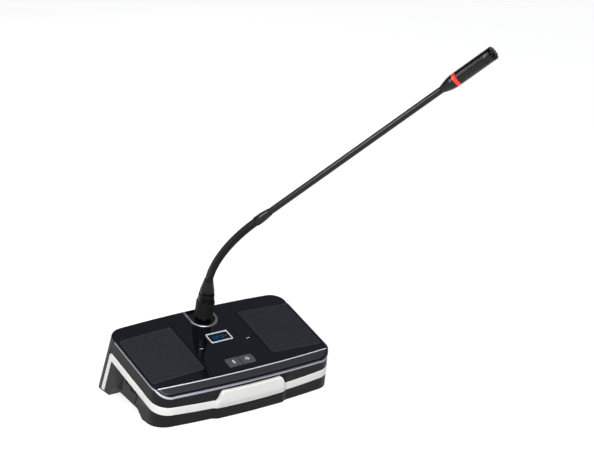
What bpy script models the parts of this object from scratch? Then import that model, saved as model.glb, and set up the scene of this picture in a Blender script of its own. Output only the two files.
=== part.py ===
"""Conference delegate unit: a wedge-shaped desk unit with two loudspeaker grilles, a small display and
two keys, and a plug-in microphone on a ribbed flexible hose and a rigid tube.

Metres. +X is the delegate's right, -Y faces the delegate and +Z is up. The origin is the middle of the
front foot strip, where it meets the desk. Places on the sloped top are given by their run, which is the
distance from the rear edge down the slope, and by their depth, which is measured square to the slope.
"""

import math

import bmesh
import bpy
from mathutils import Matrix, Vector

for leftover in list(bpy.data.objects):
    bpy.data.objects.remove(leftover, do_unlink=True)

# General fits
GAP = 0.0003            # between pieces that touch or slide
OVERRUN = 0.010         # how far a cutter runs past what it cuts
PROUD = 0.0003          # how far an inlaid piece stands above its neighbour

# Base unit, side profile
HALF_WIDTH = 0.100
REAR_EDGE_Y = 0.098     # rear edge of the top
REAR_EDGE_Z = 0.0719
TOP_TILT = math.radians(15.9)
FACET_TILT = math.radians(48.0)
CREASE_RUN = 0.1069     # run from the rear edge to the crease above the front strip
CROWN_RADIUS = 1.195    # the top falls away to both sides
CREASE_BOW = 0.573      # plan radius of the crease
FRONT_FOOT_Y = -0.00675
FRONT_LEAN = math.radians(9.1)
FRONT_BOW = 0.600       # plan radius of the front wall
REAR_FOOT_Y = 0.133
FRONT_CORNER = 0.018
REAR_CORNER = 0.015
WALL = 0.0025
COVER_THICKNESS = 0.0015

# Arch between the front leg and the rear leg, seen from the side
ARCH_FRONT_Y = 0.029
ARCH_REAR_Y = 0.0995
ARCH_FRONT_HEIGHT = 0.0086
ARCH_REAR_HEIGHT = 0.0142
ARCH_FRONT_SLOPE = 0.0095
ARCH_REAR_SLOPE = 0.0130
ARCH_CORNER = 0.006

# Feet
FOOT_PROUD = 0.0005
FOOT_DEPTH = 0.0015
FOOT_WIDTH = 0.006
FOOT_LENGTH = 0.120
FOOT_REAR_Y = 0.119

# Silver edge trim
TRIM_THICKNESS = 0.0006
TRIM_BEAD = 0.0003      # how far the trim stands out from the walls
TRIM_REAR_MARGIN = 0.016

# White band and the block at the middle of the front
BAND_UPPER_Z = 0.0229   # height of the band's upper edge where it crosses Y = 0
BAND_WIDTH = 0.0084
BAND_THICKNESS = 0.0014
BAND_LEG_Y = 0.1165     # the rear leg's band, outer edge, at desk height
BAND_LEG_WIDTH = 0.0056
BAND_LEG_END_Z = 0.0025
BAND_OUTER_CORNER = 0.005
BAND_INNER_CORNER = 0.002
BLOCK_HALF_LENGTH = 0.0325
BLOCK_RAMP = 0.0065     # over this length the block's height falls to the band's
BLOCK_SHOULDER = 0.0360 # from here outwards the block draws in to the wall
BLOCK_FLARE = 0.0070
BLOCK_STEPS = 6
BLOCK_HEIGHT = 0.0188
BLOCK_CREASE_HEIGHT = 0.0062
BLOCK_PROUD = 0.0042
BLOCK_LOWER_PROUD = 0.0030
BLOCK_BACK = 0.0010

# Front strip on the facet and the bright line above it
STRIP_BORDER = 0.0016
STRIP_HEIGHT = 0.0125
STRIP_THICKNESS = 0.0005
LINE_MARGIN = 0.0038    # from the side of the base to the end of the line and the strip
LINE_HALF_LENGTH = HALF_WIDTH - LINE_MARGIN
LINE_WIDTH = 0.0011
LINE_DEPTH = 0.0004

# Centre panel between the grilles
SEAM_X = 0.0362
PANEL_FRONT_RUN = 0.1035

# Loudspeaker grilles and loudspeakers
GRILLE_SEAM_MARGIN = 0.0028
GRILLE_EDGE_MARGIN = 0.0034
GRILLE_INNER_X = SEAM_X + GRILLE_SEAM_MARGIN
GRILLE_OUTER_X = HALF_WIDTH - GRILLE_EDGE_MARGIN
GRILLE_REAR_RUN = 0.0183
GRILLE_FRONT_RUN = 0.0910
GRILLE_CORNER = 0.0035
GRILLE_BORDER = 0.0042
GRILLE_COLUMNS = 8
GRILLE_ROWS = 9
GRILLE_HOLE = 0.0017    # half diagonal of a hole
SPEAKER_MARGIN = 0.0023
SPEAKER_RADIUS = (GRILLE_OUTER_X - GRILLE_INNER_X) / 2 - SPEAKER_MARGIN
SPEAKER_RIM_DEPTH = 0.0024
SPEAKER_RIM_WIDTH = 0.0020
SPEAKER_NECK_RADIUS = 0.0155
SPEAKER_NECK_DEPTH = 0.0130
SPEAKER_DEPTH = 0.0190
CONE_THICKNESS = 0.0005

# Microphone bay in the centre panel
BAY_RADIUS = 0.0154
BAY_REAR_RIM = 0.0010   # what is left of the panel behind the bay
PLUG_RUN = 0.0164
BAY_TRIM_WIDTH = 0.0026
WELL_THICKNESS = 0.0020
WELL_LAP = 0.0016
SOCKET_RADIUS = 0.0078
SOCKET_HEIGHT = 0.0042
SOCKET_DEPTH = 0.0130
SOCKET_BORE = 0.0053
SOCKET_FLOOR = 0.0025

# Display
DISPLAY_RUN = 0.0495
DISPLAY_WIDTH = 0.0246
DISPLAY_HEIGHT = 0.0148
DISPLAY_FRAME = 0.0011
DISPLAY_CORNER = 0.0013
GLASS_RECESS = 0.0003
MODULE_MARGIN = 0.0020
MODULE_DEPTH = 0.0045

# Keys
KEY_RUN = 0.0920
KEY_WIDTH = 0.0146
KEY_HEIGHT = 0.0122
KEY_SPLIT = 0.0009
KEY_CORNER = 0.0010
KEY_PROUD = 0.0009
KEY_TRAVEL = 0.0008
KEY_FLANGE = 0.0008
KEY_FLANGE_THICKNESS = 0.0010
KEY_STEM = 0.0040
KEY_STEM_DEPTH = 0.0085
SWITCH_SIZE = 0.0062

# Main board on posts below the centre panel
BOARD_HALF_WIDTH = 0.0325
BOARD_REAR_RUN = 0.0340
BOARD_FRONT_RUN = 0.1000
BOARD_DEPTH = 0.0160
BOARD_THICKNESS = 0.0016
POST_RADIUS = 0.0026
POST_INSET = 0.0045
CHIP_SIZE = 0.0140
CHIP_HEIGHT = 0.0018
CHIP_RUN = 0.0680

# Cable sockets in the rear wall
CABLE_SOCKET_X = 0.0180
CABLE_SOCKET_Z = 0.0330
CABLE_SOCKET_RADIUS = 0.0075
CABLE_SOCKET_LENGTH = 0.0100
CABLE_SOCKET_RECESS = 0.0030
CABLE_SOCKET_BORE = 0.0050
CABLE_SOCKET_AXLE = 0.0005  # the socket's floor and back are turned from this radius

# Side plates below the band
PLATE_FRONT_Y = 0.0385
PLATE_REAR_Y = 0.0660
PLATE_LOWER_Z = 0.0118
PLATE_BAND_MARGIN = 0.0012
PLATE_THICKNESS = 0.0008
PLATE_CORNER = 0.0010
PLATE_LEAN = 0.0041     # how far the plate's ends lean rearwards

# Base plate under the arch, with its screws
BASE_PLATE_HALF_WIDTH = 0.0700
BASE_PLATE_FRONT_Y = 0.0430
BASE_PLATE_REAR_Y = 0.0800
BASE_PLATE_THICKNESS = 0.0016
SCREW_INSET_X = 0.0080
SCREW_INSET_Y = 0.0055
SCREW_X = BASE_PLATE_HALF_WIDTH - SCREW_INSET_X
SCREW_HEAD_RADIUS = 0.0026
SCREW_DOME_RADIUS = 0.0018
SCREW_HEAD_HEIGHT = 0.0014
SCREW_SHANK_RADIUS = 0.0014
SCREW_LENGTH = 0.0065
BOSS_RADIUS = 0.0036
BOSS_HEIGHT = 0.0075

# Microphone plug, measured along its axis from the sloped top
SPIGOT_RADIUS = 0.0050
SPIGOT_DEPTH = 0.0095
RING_START = 0.0050
RING_END = 0.0215
RING_RADIUS = 0.0094
RING_BORE = 0.0068
RING_FLUTE = 0.0004
SHELL_BAND_RADIUS = 0.0086
SHELL_BAND_TOP_RADIUS = 0.0079
SHELL_BAND_END = 0.0310
SHELL_GROOVE = 0.0005
SHELL_SHOULDER_RADIUS = 0.0074
SHELL_SHOULDER_END = 0.0345
SHELL_WAIST_RADIUS = 0.0059
SHELL_WAIST_HEIGHT = 0.0410
SHELL_END = 0.0475
SHELL_TOP_RADIUS = 0.0046

# Ribbed flexible hose, as a chain of links with a ball at one end and a cup at the other
HOSE_RADIUS = 0.0041
HOSE_LENGTH = 0.0864
HOSE_LINKS = 8
HOSE_BEND_POWER = 0.55  # the hose bends most near the plug
LEAN_AZIMUTH = math.radians(-49.3)
LEAN_ELEVATION = math.radians(38.95)
RIB_DEPTH = 0.0003
RIBS_PER_LINK = 4
BALL_RADIUS = 0.0032
HOSE_BORE = 0.0012
LINK_END = 0.0009       # from a joint's centre to the rim of the cup, and to the next shoulder

# Collar, tube and microphone head
COLLAR_LENGTH = 0.0180
COLLAR_RADIUS = 0.0048
COLLAR_END_RADIUS = 0.0038
TUBE_RADIUS = 0.00335
TUBE_LENGTH = 0.2144
TUBE_SEAT = 0.0060
TAIL_LENGTH = 0.0165
HEAD_RADIUS = 0.0067
LIGHT_WIDTH = 0.0037
SLEEVE_LENGTH = 0.0318
GRID_LENGTH = 0.0103
GRID_ROUNDING = 0.0019
GRID_END_WALL = 0.0024
GRID_SLOTS = 5
GRID_SLOT_PITCH = 0.0026
GRID_SLOT_WIDTH = 0.0012
GRID_SLOT_DEPTH = 0.0038
SPIGOT_SEAT = 0.0030
CAPSULE_RADIUS = 0.0045

# Facets
ROUND_SIDES = 28
HOSE_SIDES = 16
HEAD_SIDES = 20
ARC_STEPS = 7
BOW_STEPS = 10
CROWN_STEPS = 11        # odd, so that no section lies in line with the walls' middle corner
BALL_STEPS = 4
CUP_STEPS = 3
TAIL_STEPS = 6
ROUNDING_STEPS = 3


def finish(name, colour, roughness, metallic=0.0):
    """A Principled material with one colour, roughness and metallic value."""
    material = bpy.data.materials.new(name)
    material.use_nodes = True
    shader = material.node_tree.nodes["Principled BSDF"]
    shader.inputs["Base Color"].default_value = (*colour, 1.0)
    shader.inputs["Roughness"].default_value = roughness
    shader.inputs["Metallic"].default_value = metallic
    return material


GLOSS_BLACK = finish("gloss_blue_black", (0.016, 0.019, 0.028), 0.12)
MATT_GREY = finish("matt_dark_grey", (0.040, 0.041, 0.045), 0.50)
WHITE_SATIN = finish("white_satin", (0.78, 0.78, 0.77), 0.35)
SILVER = finish("silver", (0.62, 0.63, 0.66), 0.25, 1.0)
STRIP_GREY = finish("strip_grey", (0.050, 0.052, 0.060), 0.30)
GRILLE_METAL = finish("grille_metal", (0.030, 0.031, 0.034), 0.45, 0.4)
GLASS_BLACK = finish("display_glass", (0.004, 0.005, 0.007), 0.08)
KEY_GREY = finish("key_grey", (0.090, 0.092, 0.110), 0.40)
RUBBER = finish("rubber", (0.020, 0.020, 0.020), 0.80)
BOARD_GREEN = finish("board_green", (0.020, 0.110, 0.045), 0.45)
CHIP_BLACK = finish("chip_black", (0.020, 0.020, 0.022), 0.50)
STEEL = finish("steel", (0.50, 0.50, 0.50), 0.30, 1.0)
CONE_PAPER = finish("cone_paper", (0.045, 0.043, 0.040), 0.80)
NECK_BLACK = finish("neck_black", (0.012, 0.012, 0.013), 0.35)
RING_BLACK = finish("ring_black", (0.020, 0.020, 0.020), 0.65)
LIGHT_RED = finish("light_red", (0.55, 0.020, 0.020), 0.20)


def keep_as_cutter(obj):
    """Leaves a helper out of the model, and shows it as a wire."""
    obj.hide_render = True
    obj.display_type = "WIRE"
    return obj


def solid(name, rings, material=None, loop=False, origin=None):
    """One closed body through rings of equal point counts. A loop joins the last ring to the first;
    otherwise both end rings are filled."""
    centre = Vector(origin) if origin is not None else Vector((0, 0, 0))
    mesh = bmesh.new()
    rows = [[mesh.verts.new(Vector(point) - centre) for point in ring] for ring in rings]
    for index in range(len(rows) if loop else len(rows) - 1):
        first, second = rows[index], rows[(index + 1) % len(rows)]
        for corner in range(len(first)):
            following = (corner + 1) % len(first)
            mesh.faces.new((first[corner], first[following], second[following], second[corner]))
    if not loop:
        mesh.faces.new(list(reversed(rows[0])))
        mesh.faces.new(rows[-1])
    if mesh.calc_volume(signed=True) < 0:
        bmesh.ops.reverse_faces(mesh, faces=mesh.faces[:])
    data = bpy.data.meshes.new(name)
    mesh.to_mesh(data)
    mesh.free()
    obj = bpy.data.objects.new(name, data)
    obj.location = centre
    bpy.context.scene.collection.objects.link(obj)
    if material is None:
        keep_as_cutter(obj)
    else:
        data.materials.append(material)
    return obj


def combine(target, other, operation):
    """Adds an exact Boolean of another object to a target."""
    modifier = target.modifiers.new(operation.lower() + "_" + other.name, "BOOLEAN")
    modifier.operation = operation
    modifier.solver = "EXACT"
    modifier.object = other
    keep_as_cutter(other)
    return target


def cut(target, *others):
    for other in others:
        combine(target, other, "DIFFERENCE")
    return target


def join(target, *others):
    for other in others:
        combine(target, other, "UNION")
    return target


def within(target, *others):
    for other in others:
        combine(target, other, "INTERSECT")
    return target


def smooth(obj, angle=math.radians(35)):
    obj.data.shade_smooth()
    obj.data.set_sharp_from_angle(angle=angle)
    return obj


def rounded(corners, steps=4):
    """The outline through (u, v, radius) corners, with an arc in place of each corner with a radius."""
    outline = []
    for index, (u, v, radius) in enumerate(corners):
        here = Vector((u, v))
        if not radius:
            outline.append((u, v))
            continue
        before = (Vector(corners[index - 1][:2]) - here).normalized()
        after = (Vector(corners[(index + 1) % len(corners)][:2]) - here).normalized()
        half = before.angle(after) / 2
        centre = here + (before + after).normalized() * (radius / math.sin(half))
        start = here + before * (radius / math.tan(half)) - centre
        end = here + after * (radius / math.tan(half)) - centre
        turn = math.atan2(start.x * end.y - start.y * end.x, start.dot(end))
        for step in range(steps + 1):
            angle = turn * step / steps
            cosine, sine = math.cos(angle), math.sin(angle)
            outline.append((centre.x + start.x * cosine - start.y * sine,
                            centre.y + start.x * sine + start.y * cosine))
    return outline


def box_outline(u0, u1, v0, v1, radius=0):
    return rounded([(u0, v0, radius), (u1, v0, radius), (u1, v1, radius), (u0, v1, radius)])


# The sloped top as a frame: x, run down the slope and depth square to it
SLOPE = math.tan(TOP_TILT)
DOWN_SLOPE = Vector((0, -math.cos(TOP_TILT), -math.sin(TOP_TILT)))
TOP_NORMAL = Vector((0, -math.sin(TOP_TILT), math.cos(TOP_TILT)))
REAR_EDGE = Vector((0, REAR_EDGE_Y, REAR_EDGE_Z))
SIDEWAYS = Vector((1, 0, 0))


def on_top(x, run, depth=0.0):
    return REAR_EDGE + SIDEWAYS * x + DOWN_SLOPE * run - TOP_NORMAL * depth


def crown_drop(x):
    return x * x / (2 * CROWN_RADIUS)


def top_prism(name, outline, depth_from, depth_to, material=None, origin=None):
    """An outline of (x, run) points on the top, pushed from one depth to another."""
    return solid(name, [[on_top(x, run, depth_from) for x, run in outline],
                        [on_top(x, run, depth_to) for x, run in outline]], material, origin=origin)


def side_prism(name, outline, x_from, x_to, material=None):
    """An outline of (y, z) points, pushed along X."""
    return solid(name, [[(x_from, y, z) for y, z in outline], [(x_to, y, z) for y, z in outline]], material)


def block(name, x0, x1, y0, y1, z0, z1, material=None):
    return side_prism(name, [(y0, z0), (y1, z0), (y1, z1), (y0, z1)], x0, x1, material)


def axis_frame(origin, direction):
    """A matrix whose Z axis is the direction, at the origin."""
    return Matrix.Translation(origin) @ direction.to_track_quat("Z", "Y").to_matrix().to_4x4()


def turned(name, profile, frame, material=None, sides=ROUND_SIDES, loop=False):
    """A profile of (radius, height) points turned about the frame's Z axis. The object keeps the frame's
    origin and turn, so it can swing or spin about them."""
    angles = [math.tau * side / sides for side in range(sides)]
    rings = [[(radius * math.cos(angle), radius * math.sin(angle), height) for angle in angles]
             for radius, height in profile]
    obj = solid(name, rings, material, loop=loop)
    obj.matrix_world = frame
    return smooth(obj)


# Base unit: walls, top surface and openings

FRONT_SLANT = math.tan(FRONT_LEAN)
REAR_SLANT = (REAR_FOOT_Y - REAR_EDGE_Y) / REAR_EDGE_Z
WALL_TOP_Z = REAR_EDGE_Z + OVERRUN


def front_wall_y(x, z):
    return FRONT_FOOT_Y - FRONT_SLANT * z + x * x / (2 * FRONT_BOW)


def wall_outline(inset, z):
    """The plan outline of the walls at one height: a bowed front, straight sides and round corners."""
    half = HALF_WIDTH - inset
    front_radius = FRONT_CORNER - inset
    rear_radius = REAR_CORNER - inset
    points = []
    start_x = half - front_radius
    start_y = front_wall_y(start_x, z) + inset
    for step in range(BOW_STEPS + 1):
        x = -start_x + 2 * start_x * step / BOW_STEPS
        points.append((x, front_wall_y(x, z) + inset, z))
    for step in range(1, ARC_STEPS + 1):
        angle = -math.pi / 2 + math.pi / 2 * step / ARC_STEPS
        points.append((start_x + front_radius * math.cos(angle),
                       start_y + front_radius + front_radius * math.sin(angle), z))
    rear_y = REAR_FOOT_Y - REAR_SLANT * z - inset
    for step in range(ARC_STEPS + 1):
        angle = math.pi / 2 * step / ARC_STEPS
        points.append((half - rear_radius + rear_radius * math.cos(angle),
                       rear_y - rear_radius + rear_radius * math.sin(angle), z))
    mirrored = [(-x, y, z) for x, y, z in reversed(points[BOW_STEPS + 1:])]
    return points + mirrored


def walls(name, inset, material=None, bottom=None):
    """The base unit's outside shape drawn in by an inset, from below the desk to above the top."""
    bottom = -OVERRUN if bottom is None else bottom
    return solid(name, [wall_outline(inset, bottom), wall_outline(inset, WALL_TOP_Z)], material)


def top_height(x, y, depth):
    return REAR_EDGE_Z + SLOPE * (y - REAR_EDGE_Y) - crown_drop(x) - depth / math.cos(TOP_TILT)


def crease_y(x):
    return REAR_EDGE_Y - CREASE_RUN * math.cos(TOP_TILT) + x * x / (2 * CREASE_BOW)


def below_top(name, depth):
    """Everything below the crowned top and its front facet, at a depth."""
    reach = HALF_WIDTH + OVERRUN
    rear = REAR_FOOT_Y + OVERRUN
    facet = REAR_EDGE_Z / 2
    sections = []
    for step in range(CROWN_STEPS + 1):
        x = -reach + 2 * reach * step / CROWN_STEPS
        y = crease_y(x)
        z = top_height(x, y, depth)
        sections.append([(x, rear, top_height(x, rear, depth)), (x, y, z),
                         (x, y - facet, z - math.tan(FACET_TILT) * facet),
                         (x, y - facet, -2 * OVERRUN), (x, rear, -2 * OVERRUN)])
    return solid(name, sections)


def arch_outline(grow=0.0):
    """The opening between the legs, seen from the side, let down below the desk."""
    return rounded([
        (ARCH_FRONT_Y - grow, -OVERRUN, 0),
        (ARCH_FRONT_Y - grow, 0, 0),
        (ARCH_FRONT_Y + ARCH_FRONT_SLOPE - grow, ARCH_FRONT_HEIGHT + grow, ARCH_CORNER),
        (ARCH_REAR_Y - ARCH_REAR_SLOPE + grow, ARCH_REAR_HEIGHT + grow, ARCH_CORNER),
        (ARCH_REAR_Y + grow, 0, 0),
        (ARCH_REAR_Y + grow, -OVERRUN, 0)])


def arch_roof(y):
    share = (y - ARCH_FRONT_Y - ARCH_FRONT_SLOPE) / (
        ARCH_REAR_Y - ARCH_REAR_SLOPE - ARCH_FRONT_Y - ARCH_FRONT_SLOPE)
    return ARCH_FRONT_HEIGHT + share * (ARCH_REAR_HEIGHT - ARCH_FRONT_HEIGHT)


SIDE_REACH = HALF_WIDTH + OVERRUN


def cover_sheet(name, material, bead=0.0):
    """The top as a sheet of even depth that follows the crown and the facet, out to the walls or past."""
    return cut(within(walls(name, -bead, material), below_top(name + "_under_top", 0.0)),
               below_top(name + "_hollow", COVER_THICKNESS))


def trim_zone(name, inset, rear_y):
    """The outer rim of the base forward of a line: a broad block less the walls drawn in."""
    zone = block(name, -SIDE_REACH, SIDE_REACH, FRONT_FOOT_Y - 2 * OVERRUN - BLOCK_HEIGHT, rear_y,
                 -OVERRUN, WALL_TOP_Z)
    return cut(zone, walls(name + "_core", inset))


TRIM_REAR_Y = REAR_EDGE_Y - TRIM_REAR_MARGIN

edge_trim = within(cover_sheet("edge_trim", SILVER, TRIM_BEAD),
                   trim_zone("trim_cut", TRIM_THICKNESS, TRIM_REAR_Y))

BAY_FRONT_RUN = PLUG_RUN + BAY_RADIUS
bay_opening = rounded([
    (-BAY_RADIUS, BAY_REAR_RIM, 0), (BAY_RADIUS, BAY_REAR_RIM, 0),
    (BAY_RADIUS, BAY_FRONT_RUN, BAY_RADIUS - GAP / 2), (-BAY_RADIUS, BAY_FRONT_RUN, BAY_RADIUS - GAP / 2)],
    steps=ARC_STEPS)


def grille_outline(side, grow=0.0):
    inner, outer = GRILLE_INNER_X - grow, GRILLE_OUTER_X + grow
    low, high = (inner, outer) if side > 0 else (-outer, -inner)
    return box_outline(low, high, GRILLE_REAR_RUN - grow, GRILLE_FRONT_RUN + grow, GRILLE_CORNER)


CUT_DEPTH = REAR_EDGE_Z / 3

top_cover = cut(
    cover_sheet("top_cover", GLOSS_BLACK),
    trim_zone("cover_rim", TRIM_THICKNESS + GAP, TRIM_REAR_Y + GAP),
    top_prism("centre_slot", box_outline(-SEAM_X - GAP, SEAM_X + GAP, -2 * OVERRUN, PANEL_FRONT_RUN + GAP),
              -OVERRUN, CUT_DEPTH),
    top_prism("grille_slot_left", grille_outline(-1, GAP), -OVERRUN, CUT_DEPTH),
    top_prism("grille_slot_right", grille_outline(1, GAP), -OVERRUN, CUT_DEPTH))


def facet_patch(name, material, half_length, from_crease, height, depth, grow=0.0):
    """A strip that lies on the front facet, bowed as the crease is. The facet's slope sets its turn."""
    along = Vector((0, -math.cos(FACET_TILT), -math.sin(FACET_TILT)))
    inward = Vector((0, math.sin(FACET_TILT), -math.cos(FACET_TILT)))
    sections = []
    for step in range(CROWN_STEPS + 1):
        x = (half_length + grow) * (-1 + 2 * step / CROWN_STEPS)
        y = crease_y(x)
        corner = Vector((x, y, top_height(x, y, 0.0)))
        upper = corner + along * (from_crease - grow)
        lower = corner + along * (from_crease + height + grow)
        over = -inward * (PROUD if not grow else OVERRUN)
        under = inward * (depth + grow)
        sections.append([upper + over, lower + over, lower + under, upper + under])
    return solid(name, sections, material)


def strip_patch(name, material, grow=0.0):
    """The grey strip: the facet's patch, kept inside the cover's own border at its ends and its foot."""
    strip = facet_patch(name, material, LINE_HALF_LENGTH, LINE_WIDTH, STRIP_HEIGHT, STRIP_THICKNESS, grow)
    return within(strip, walls(name + "_border", TRIM_THICKNESS + GAP + STRIP_BORDER - grow))


front_strip = strip_patch("front_strip", STRIP_GREY)
cut(top_cover, strip_patch("strip_pocket", None, GAP))

bright_line = facet_patch("bright_line", SILVER, LINE_HALF_LENGTH, 0.0, LINE_WIDTH - GAP, LINE_DEPTH)
cut(top_cover, facet_patch("line_pocket", None, LINE_HALF_LENGTH, 0.0, LINE_WIDTH - GAP, LINE_DEPTH, GAP))

# Centre panel, with its windows and the posts that carry the main board

centre_panel = within(
    cover_sheet("centre_panel", GLOSS_BLACK),
    top_prism("panel_limit", box_outline(-SEAM_X, SEAM_X, -2 * OVERRUN, PANEL_FRONT_RUN),
              -OVERRUN, CUT_DEPTH))

for side_name, side in (("left", -1), ("right", 1)):
    for end_name, run in (("rear", BOARD_REAR_RUN + POST_INSET), ("front", BOARD_FRONT_RUN - POST_INSET)):
        frame = axis_frame(on_top(side * (BOARD_HALF_WIDTH - POST_INSET), run, BOARD_DEPTH - GAP), TOP_NORMAL)
        post = turned("post_" + end_name + "_" + side_name,
                      [(POST_RADIUS, 0), (POST_RADIUS, BOARD_DEPTH - COVER_THICKNESS / 2)], frame,
                      sides=HOSE_SIDES)
        join(centre_panel, post)


def key_centre(side):
    return side * (KEY_WIDTH + KEY_SPLIT) / 2


def key_outline(side, grow=0.0):
    centre = key_centre(side)
    half, tall = KEY_WIDTH / 2 + grow, KEY_HEIGHT / 2 + grow
    return box_outline(centre - half, centre + half, KEY_RUN - tall, KEY_RUN + tall, KEY_CORNER)


def display_outline(inset=0.0):
    half, tall = DISPLAY_WIDTH / 2 - inset, DISPLAY_HEIGHT / 2 - inset
    return box_outline(-half, half, DISPLAY_RUN - tall, DISPLAY_RUN + tall, max(DISPLAY_CORNER - inset, 0))


keys_window = box_outline(-KEY_WIDTH - KEY_SPLIT / 2 - GAP, KEY_WIDTH + KEY_SPLIT / 2 + GAP,
                          KEY_RUN - KEY_HEIGHT / 2 - GAP, KEY_RUN + KEY_HEIGHT / 2 + GAP, KEY_CORNER)
cut(centre_panel,
    top_prism("bay_cut", bay_opening, -OVERRUN, CUT_DEPTH),
    top_prism("display_cut", display_outline(-GAP), -OVERRUN, CUT_DEPTH / 2),
    top_prism("key_cut", keys_window, -OVERRUN, CUT_DEPTH / 2))

# Microphone bay: silver lining, dark floor and the socket that the plug drops into


def bay_curve(radius, rear_run, steps=3 * ARC_STEPS):
    """A U from its rear left end, round the front and back to its rear right end."""
    arc = [(-radius * math.cos(math.pi * step / steps), PLUG_RUN + radius * math.sin(math.pi * step / steps))
           for step in range(steps + 1)]
    return [(-radius, rear_run)] + arc + [(radius, rear_run)]


def inside_wall_run(depth):
    """The run at which a flat piece at a depth clears the inside of the rear wall."""
    slant = math.atan(REAR_SLANT)
    return WALL / math.cos(slant + TOP_TILT) + GAP * 2 - depth * math.tan(slant - TOP_TILT)


trim_outer = BAY_RADIUS - GAP
trim_start = BAY_REAR_RIM + GAP
bay_trim = top_prism("bay_trim", bay_curve(trim_outer, trim_start)
                     + bay_curve(trim_outer - BAY_TRIM_WIDTH, trim_start)[::-1],
                     -PROUD, COVER_THICKNESS, SILVER)

WELL_TOP = COVER_THICKNESS + GAP
bay_well = top_prism("bay_well", bay_curve(BAY_RADIUS + WELL_LAP, inside_wall_run(0)),
                     WELL_TOP, WELL_TOP + WELL_THICKNESS, MATT_GREY)
plug_frame = axis_frame(on_top(0, PLUG_RUN), TOP_NORMAL)
hole = SOCKET_RADIUS + GAP
cut(bay_well, turned("well_hole", [(hole, -SOCKET_DEPTH), (hole, OVERRUN)], plug_frame))

mic_socket = turned("mic_socket", [
    (SOCKET_BORE, -SOCKET_DEPTH + SOCKET_FLOOR), (SOCKET_BORE, SOCKET_HEIGHT),
    (SOCKET_RADIUS, SOCKET_HEIGHT), (SOCKET_RADIUS, -SOCKET_DEPTH)], plug_frame, NECK_BLACK)

# Display

display_frame = cut(
    top_prism("display_frame", display_outline(), -PROUD, COVER_THICKNESS, SILVER),
    top_prism("frame_window", display_outline(DISPLAY_FRAME), -OVERRUN, CUT_DEPTH / 2))
display_glass = top_prism("display_glass", display_outline(DISPLAY_FRAME + GAP), GLASS_RECESS,
                          COVER_THICKNESS, GLASS_BLACK)
display_module = top_prism("display_module", display_outline(-MODULE_MARGIN), WELL_TOP,
                           WELL_TOP + MODULE_DEPTH, STEEL)

# Keys, their switches and the main board

for side_name, side in (("left", -1), ("right", 1)):
    centre = key_centre(side)
    pivot = on_top(centre, KEY_RUN)
    key = top_prism("key_" + side_name, key_outline(side), -KEY_PROUD, COVER_THICKNESS + KEY_FLANGE_THICKNESS,
                    KEY_GREY, origin=pivot)
    outer = centre + side * (KEY_WIDTH / 2 + KEY_FLANGE)
    inner = centre - side * KEY_WIDTH / 2
    tall = KEY_HEIGHT / 2 + KEY_FLANGE
    flange = top_prism("key_flange_" + side_name,
                       box_outline(min(outer, inner), max(outer, inner), KEY_RUN - tall, KEY_RUN + tall),
                       COVER_THICKNESS + GAP, COVER_THICKNESS + GAP + KEY_FLANGE_THICKNESS)
    half = KEY_STEM / 2
    stem = top_prism("key_stem_" + side_name,
                     box_outline(centre - half, centre + half, KEY_RUN - half, KEY_RUN + half),
                     COVER_THICKNESS, KEY_STEM_DEPTH)
    join(key, flange, stem)
    half = SWITCH_SIZE / 2
    top_prism("key_switch_" + side_name,
              box_outline(centre - half, centre + half, KEY_RUN - half, KEY_RUN + half),
              KEY_STEM_DEPTH + KEY_TRAVEL + GAP, BOARD_DEPTH - GAP, CHIP_BLACK)

main_board = top_prism("main_board",
                       box_outline(-BOARD_HALF_WIDTH, BOARD_HALF_WIDTH, BOARD_REAR_RUN, BOARD_FRONT_RUN),
                       BOARD_DEPTH, BOARD_DEPTH + BOARD_THICKNESS, BOARD_GREEN)
board_chip = top_prism("board_chip",
                       box_outline(-CHIP_SIZE / 2, CHIP_SIZE / 2,
                                   CHIP_RUN - CHIP_SIZE / 2, CHIP_RUN + CHIP_SIZE / 2),
                       BOARD_DEPTH - GAP - CHIP_HEIGHT, BOARD_DEPTH - GAP, CHIP_BLACK)

# Grilles and loudspeakers


def grille_holes(name, side):
    """Diamond holes in even rows, joined in one cutter."""
    mesh = bmesh.new()
    width = GRILLE_OUTER_X - GRILLE_INNER_X - 2 * GRILLE_BORDER
    length = GRILLE_FRONT_RUN - GRILLE_REAR_RUN - 2 * GRILLE_BORDER
    for column in range(GRILLE_COLUMNS):
        x = side * (GRILLE_INNER_X + GRILLE_BORDER + width * column / (GRILLE_COLUMNS - 1))
        for row in range(GRILLE_ROWS):
            run = GRILLE_REAR_RUN + GRILLE_BORDER + length * row / (GRILLE_ROWS - 1)
            diamond = [(x - GRILLE_HOLE, run), (x, run - GRILLE_HOLE),
                       (x + GRILLE_HOLE, run), (x, run + GRILLE_HOLE)]
            lower = [mesh.verts.new(on_top(u, v, CUT_DEPTH)) for u, v in diamond]
            upper = [mesh.verts.new(on_top(u, v, -OVERRUN)) for u, v in diamond]
            mesh.faces.new(lower)
            mesh.faces.new(upper[::-1])
            for corner in range(4):
                following = (corner + 1) % 4
                mesh.faces.new((lower[following], lower[corner], upper[corner], upper[following]))
    bmesh.ops.recalc_face_normals(mesh, faces=mesh.faces[:])
    data = bpy.data.meshes.new(name)
    mesh.to_mesh(data)
    mesh.free()
    obj = bpy.data.objects.new(name, data)
    bpy.context.scene.collection.objects.link(obj)
    return keep_as_cutter(obj)


def speaker_frame_at(side):
    """The place and turn of a loudspeaker: below the middle of its grille, square to the crown there."""
    x = side * (GRILLE_INNER_X + GRILLE_OUTER_X) / 2
    run = (GRILLE_REAR_RUN + GRILLE_FRONT_RUN) / 2
    lean = math.asin(x / CROWN_RADIUS)
    normal = TOP_NORMAL * math.cos(lean) + SIDEWAYS * math.sin(lean)
    return axis_frame(on_top(x, run, crown_drop(x)) - normal * (COVER_THICKNESS + 2 * GAP), normal)


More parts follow.
